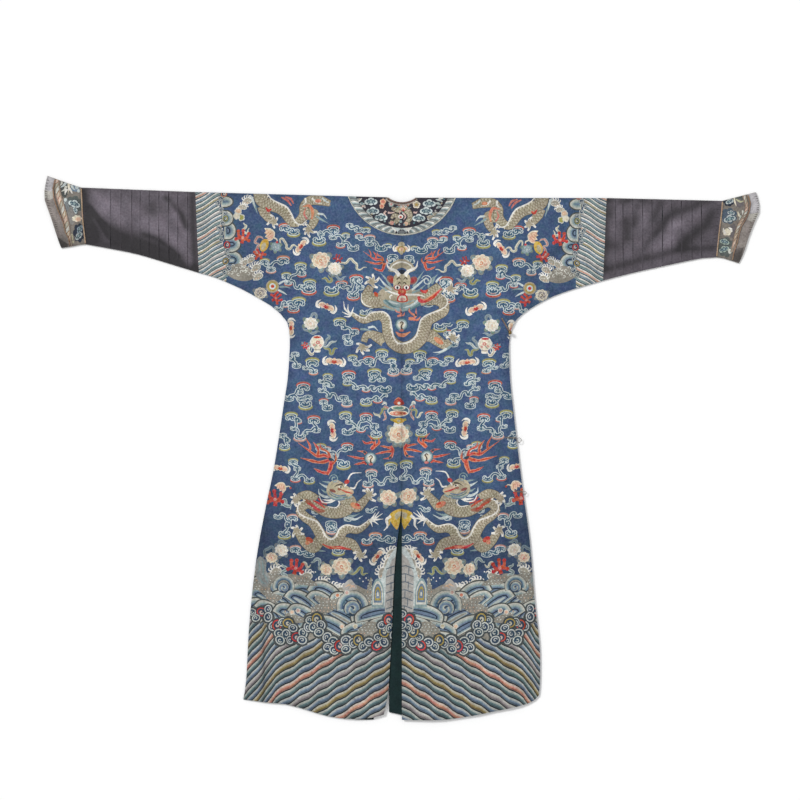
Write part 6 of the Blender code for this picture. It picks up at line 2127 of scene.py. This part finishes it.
def twisted_cord(name, route, radius):
    """Two plies of six-sided tube that wind about a route given in metres."""
    line = curve(route, 8)
    along = np.concatenate([[0], np.cumsum(np.linalg.norm(np.diff(line, axis=0), axis=1))])
    run = np.gradient(line, axis=0)
    run /= np.linalg.norm(run, axis=1)[:, None]
    side = np.cross(run, (0, 0, 1))
    side /= np.linalg.norm(side, axis=1)[:, None]
    up = np.cross(side, run)
    points, faces = [], []
    for ply in (0, math.pi):
        angle = (along / LOOP_LAY * 2 * math.pi + ply)[:, None]
        middle = line + 0.46 * radius * (np.cos(angle) * side + np.sin(angle) * up)
        at = sum(len(p) for p in points)
        around = np.arange(6) / 6 * 2 * math.pi
        rings = [m + 0.54 * radius * (math.cos(a) * s + math.sin(a) * u) for m, s, u in zip(middle, side, up)
            for a in around]
        points.append(np.array(rings))
        for i in range(len(line) - 1):
            a, b = at + 6 * i, at + 6 * (i + 1)
            faces += [(a + k, a + (k + 1) % 6, b + (k + 1) % 6, b + k) for k in range(6)]
        last = at + 6 * (len(line) - 1)
        faces += [(at + 3, at + 2, at + 1, at), (at + 5, at + 4, at + 3, at)]
        faces += [(last, last + 1, last + 2, last + 3), (last, last + 3, last + 4, last + 5)]
    faces = np.array(faces)
    corners = 4 * len(faces)
    colours = np.tile(dye_colour("binding+-"), (corners, 1)) * 1.3
    stitch = np.tile((0.25, 1.0, 0.0), (corners, 1))
    return mesh_object(name, np.vstack(points), faces, (TWISTED,), np.zeros(len(faces)), colours, stitch)


for node, (start, eye, radius) in LOOPS.items():
    plan = on_cloth(loop_route(start, eye, radius))
    corners = np.array([v.co[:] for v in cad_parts[node].data.vertices])
    near = [corners[np.hypot(*(corners[:, :2] - p).T) < 0.002][:, 2] for p in plan]
    heights = np.array([(z.min() + z.max()) / 2 for z in near])
    loop = twisted_cord("cord_" + node, np.column_stack([plan, heights]), LOOP_CORD * CM)
    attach(loop, "root")
    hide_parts(node)
    print(loop.name, len(loop.data.polygons), "faces")

# %% Button
SEGMENTS = 32
RING_OFFSET = Vector((-0.0030, 0.0036, -0.0004))     # from the ball's centre to the ring's
RING_TURN = (1.2, 0, 0.7)

low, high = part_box("button")
centre = (Vector(low) + Vector(high)) / 2
radius = (high[0] - low[0]) / 2
bpy.ops.object.select_all(action="DESELECT")
bpy.ops.mesh.primitive_uv_sphere_add(segments=SEGMENTS, ring_count=20, radius=radius * 0.94, location=centre)
button = bpy.context.object
button.name = "brass_button"
for vertex in button.data.vertices:
    meridian = round(math.atan2(vertex.co.y, vertex.co.x) / (2 * math.pi / SEGMENTS))
    vertex.select = meridian % 4 == 0 and abs(vertex.co.z) < radius * 0.8
bpy.context.tool_settings.mesh_select_mode = (True, False, False)
bpy.ops.object.mode_set(mode="EDIT")
bpy.ops.transform.shrink_fatten(value=radius * 0.06)
bpy.ops.object.mode_set(mode="OBJECT")
ribs = button.modifiers.new("smooth", "SUBSURF")
ribs.levels = ribs.render_levels = 1
bpy.ops.object.modifier_apply(modifier="smooth")
bpy.ops.object.shade_smooth()
bpy.ops.mesh.primitive_torus_add(major_segments=28, minor_segments=10, major_radius=0.0016,
    minor_radius=0.00045, location=centre + RING_OFFSET, rotation=RING_TURN)
bpy.ops.object.shade_smooth()
button.select_set(True)
bpy.context.view_layer.objects.active = button
bpy.ops.object.join()
bpy.ops.object.transform_apply(location=True, rotation=True, scale=True)


def aged_brass():
    """Old brass: bright where it is rubbed, brown in the hollows."""
    material = bpy.data.materials.new("aged brass")
    material.use_nodes = True
    tree = material.node_tree
    shader = tree.nodes["Principled BSDF"]
    place = wire(tree, "ShaderNodeTexCoord").outputs["Object"]
    stain = wire(tree, "ShaderNodeTexNoise", place, None, 420.0, 4.0, 0.65).outputs[0]
    mix = wire(tree, "ShaderNodeMix", stain, data_type="RGBA")
    mix.inputs[6].default_value = (*linear("4A3A22"), 1)
    mix.inputs[7].default_value = (*linear("A68C56"), 1)
    tree.links.new(mix.outputs[2], shader.inputs["Base Color"])
    rough = math_node(tree, "ADD", 0.28, math_node(tree, "MULTIPLY", stain, 0.3))
    tree.links.new(rough, shader.inputs["Roughness"])
    bump = wire(tree, "ShaderNodeBump")
    bump.inputs["Strength"].default_value = 0.3
    bump.inputs["Distance"].default_value = 0.0002
    tree.links.new(stain, bump.inputs["Height"])
    tree.links.new(bump.outputs["Normal"], shader.inputs["Normal"])
    shader.inputs["Metallic"].default_value = 1.0
    return material


button.data.materials.append(aged_brass())
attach(button, "root")
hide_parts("button")
print("button:", len(button.data.polygons), "faces")

# %% [markdown]

# %% [markdown]
# ## Floor, light and camera

# %% Floor
def flat_colour(name, code, roughness=0.6):
    material = bpy.data.materials.new(name)
    material.use_nodes = True
    tree = material.node_tree
    shader = tree.nodes["Principled BSDF"]
    place = wire(tree, "ShaderNodeTexCoord").outputs["Object"]
    noise = wire(tree, "ShaderNodeTexNoise", place, None, 3.0, 3.0).outputs[0]
    low, high = linear(code) * 0.99, linear(code)
    mix = wire(tree, "ShaderNodeMix", noise, data_type="RGBA")
    mix.inputs[6].default_value = (*low, 1)
    mix.inputs[7].default_value = (*high, 1)
    tree.links.new(mix.outputs[2], shader.inputs["Base Color"])
    shader.inputs["Roughness"].default_value = roughness
    shader.inputs["Specular IOR Level"].default_value = 0.1
    return material


bpy.ops.object.select_all(action="DESELECT")
bpy.ops.mesh.primitive_plane_add(size=12.0, location=(0, 0, 0))
floor = bpy.context.object
floor.name = "floor"
bpy.ops.object.transform_apply(location=True, scale=True)
floor.data.materials.append(flat_colour("pale floor", "FFFFFF", 0.9))

# %% Light
SUN_FROM = Vector((-1.2, 1.0, 1.15))                 # low, from the upper left

world = bpy.data.worlds.new("soft studio")
bpy.context.scene.world = world
world.use_nodes = True
background = world.node_tree.nodes["Background"]
background.inputs[0].default_value = (1.0, 1.0, 1.0, 1)
background.inputs[1].default_value = 0.66

sun = bpy.data.lights.new("low sun", "SUN")
sun.energy = 1.9
sun.angle = math.radians(14)
holder = bpy.data.objects.new("low sun", sun)
holder.rotation_euler = (-SUN_FROM).to_track_quat("-Z", "Y").to_euler()
bpy.context.scene.collection.objects.link(holder)

# %% Camera
FRAME_WIDTH = 2.128
FRAME_CENTRE = (-0.0048, 0.1274)
LENS_HEIGHT = 6.0
CLOTH_LEVEL = 0.006      # the height at which FRAME_WIDTH is measured
SENSOR = 36              # the sensor's width in millimetres
camera_data = bpy.data.cameras.new("camera")
camera_data.sensor_fit = "HORIZONTAL"
camera_data.sensor_width = SENSOR
camera_data.lens = SENSOR * (LENS_HEIGHT - CLOTH_LEVEL) / FRAME_WIDTH
camera_data.clip_end = 100
camera = bpy.data.objects.new("camera", camera_data)
camera.location = (*FRAME_CENTRE, LENS_HEIGHT)
bpy.context.scene.collection.objects.link(camera)
bpy.context.scene.camera = camera
bpy.context.scene.view_settings.view_transform = "Standard"
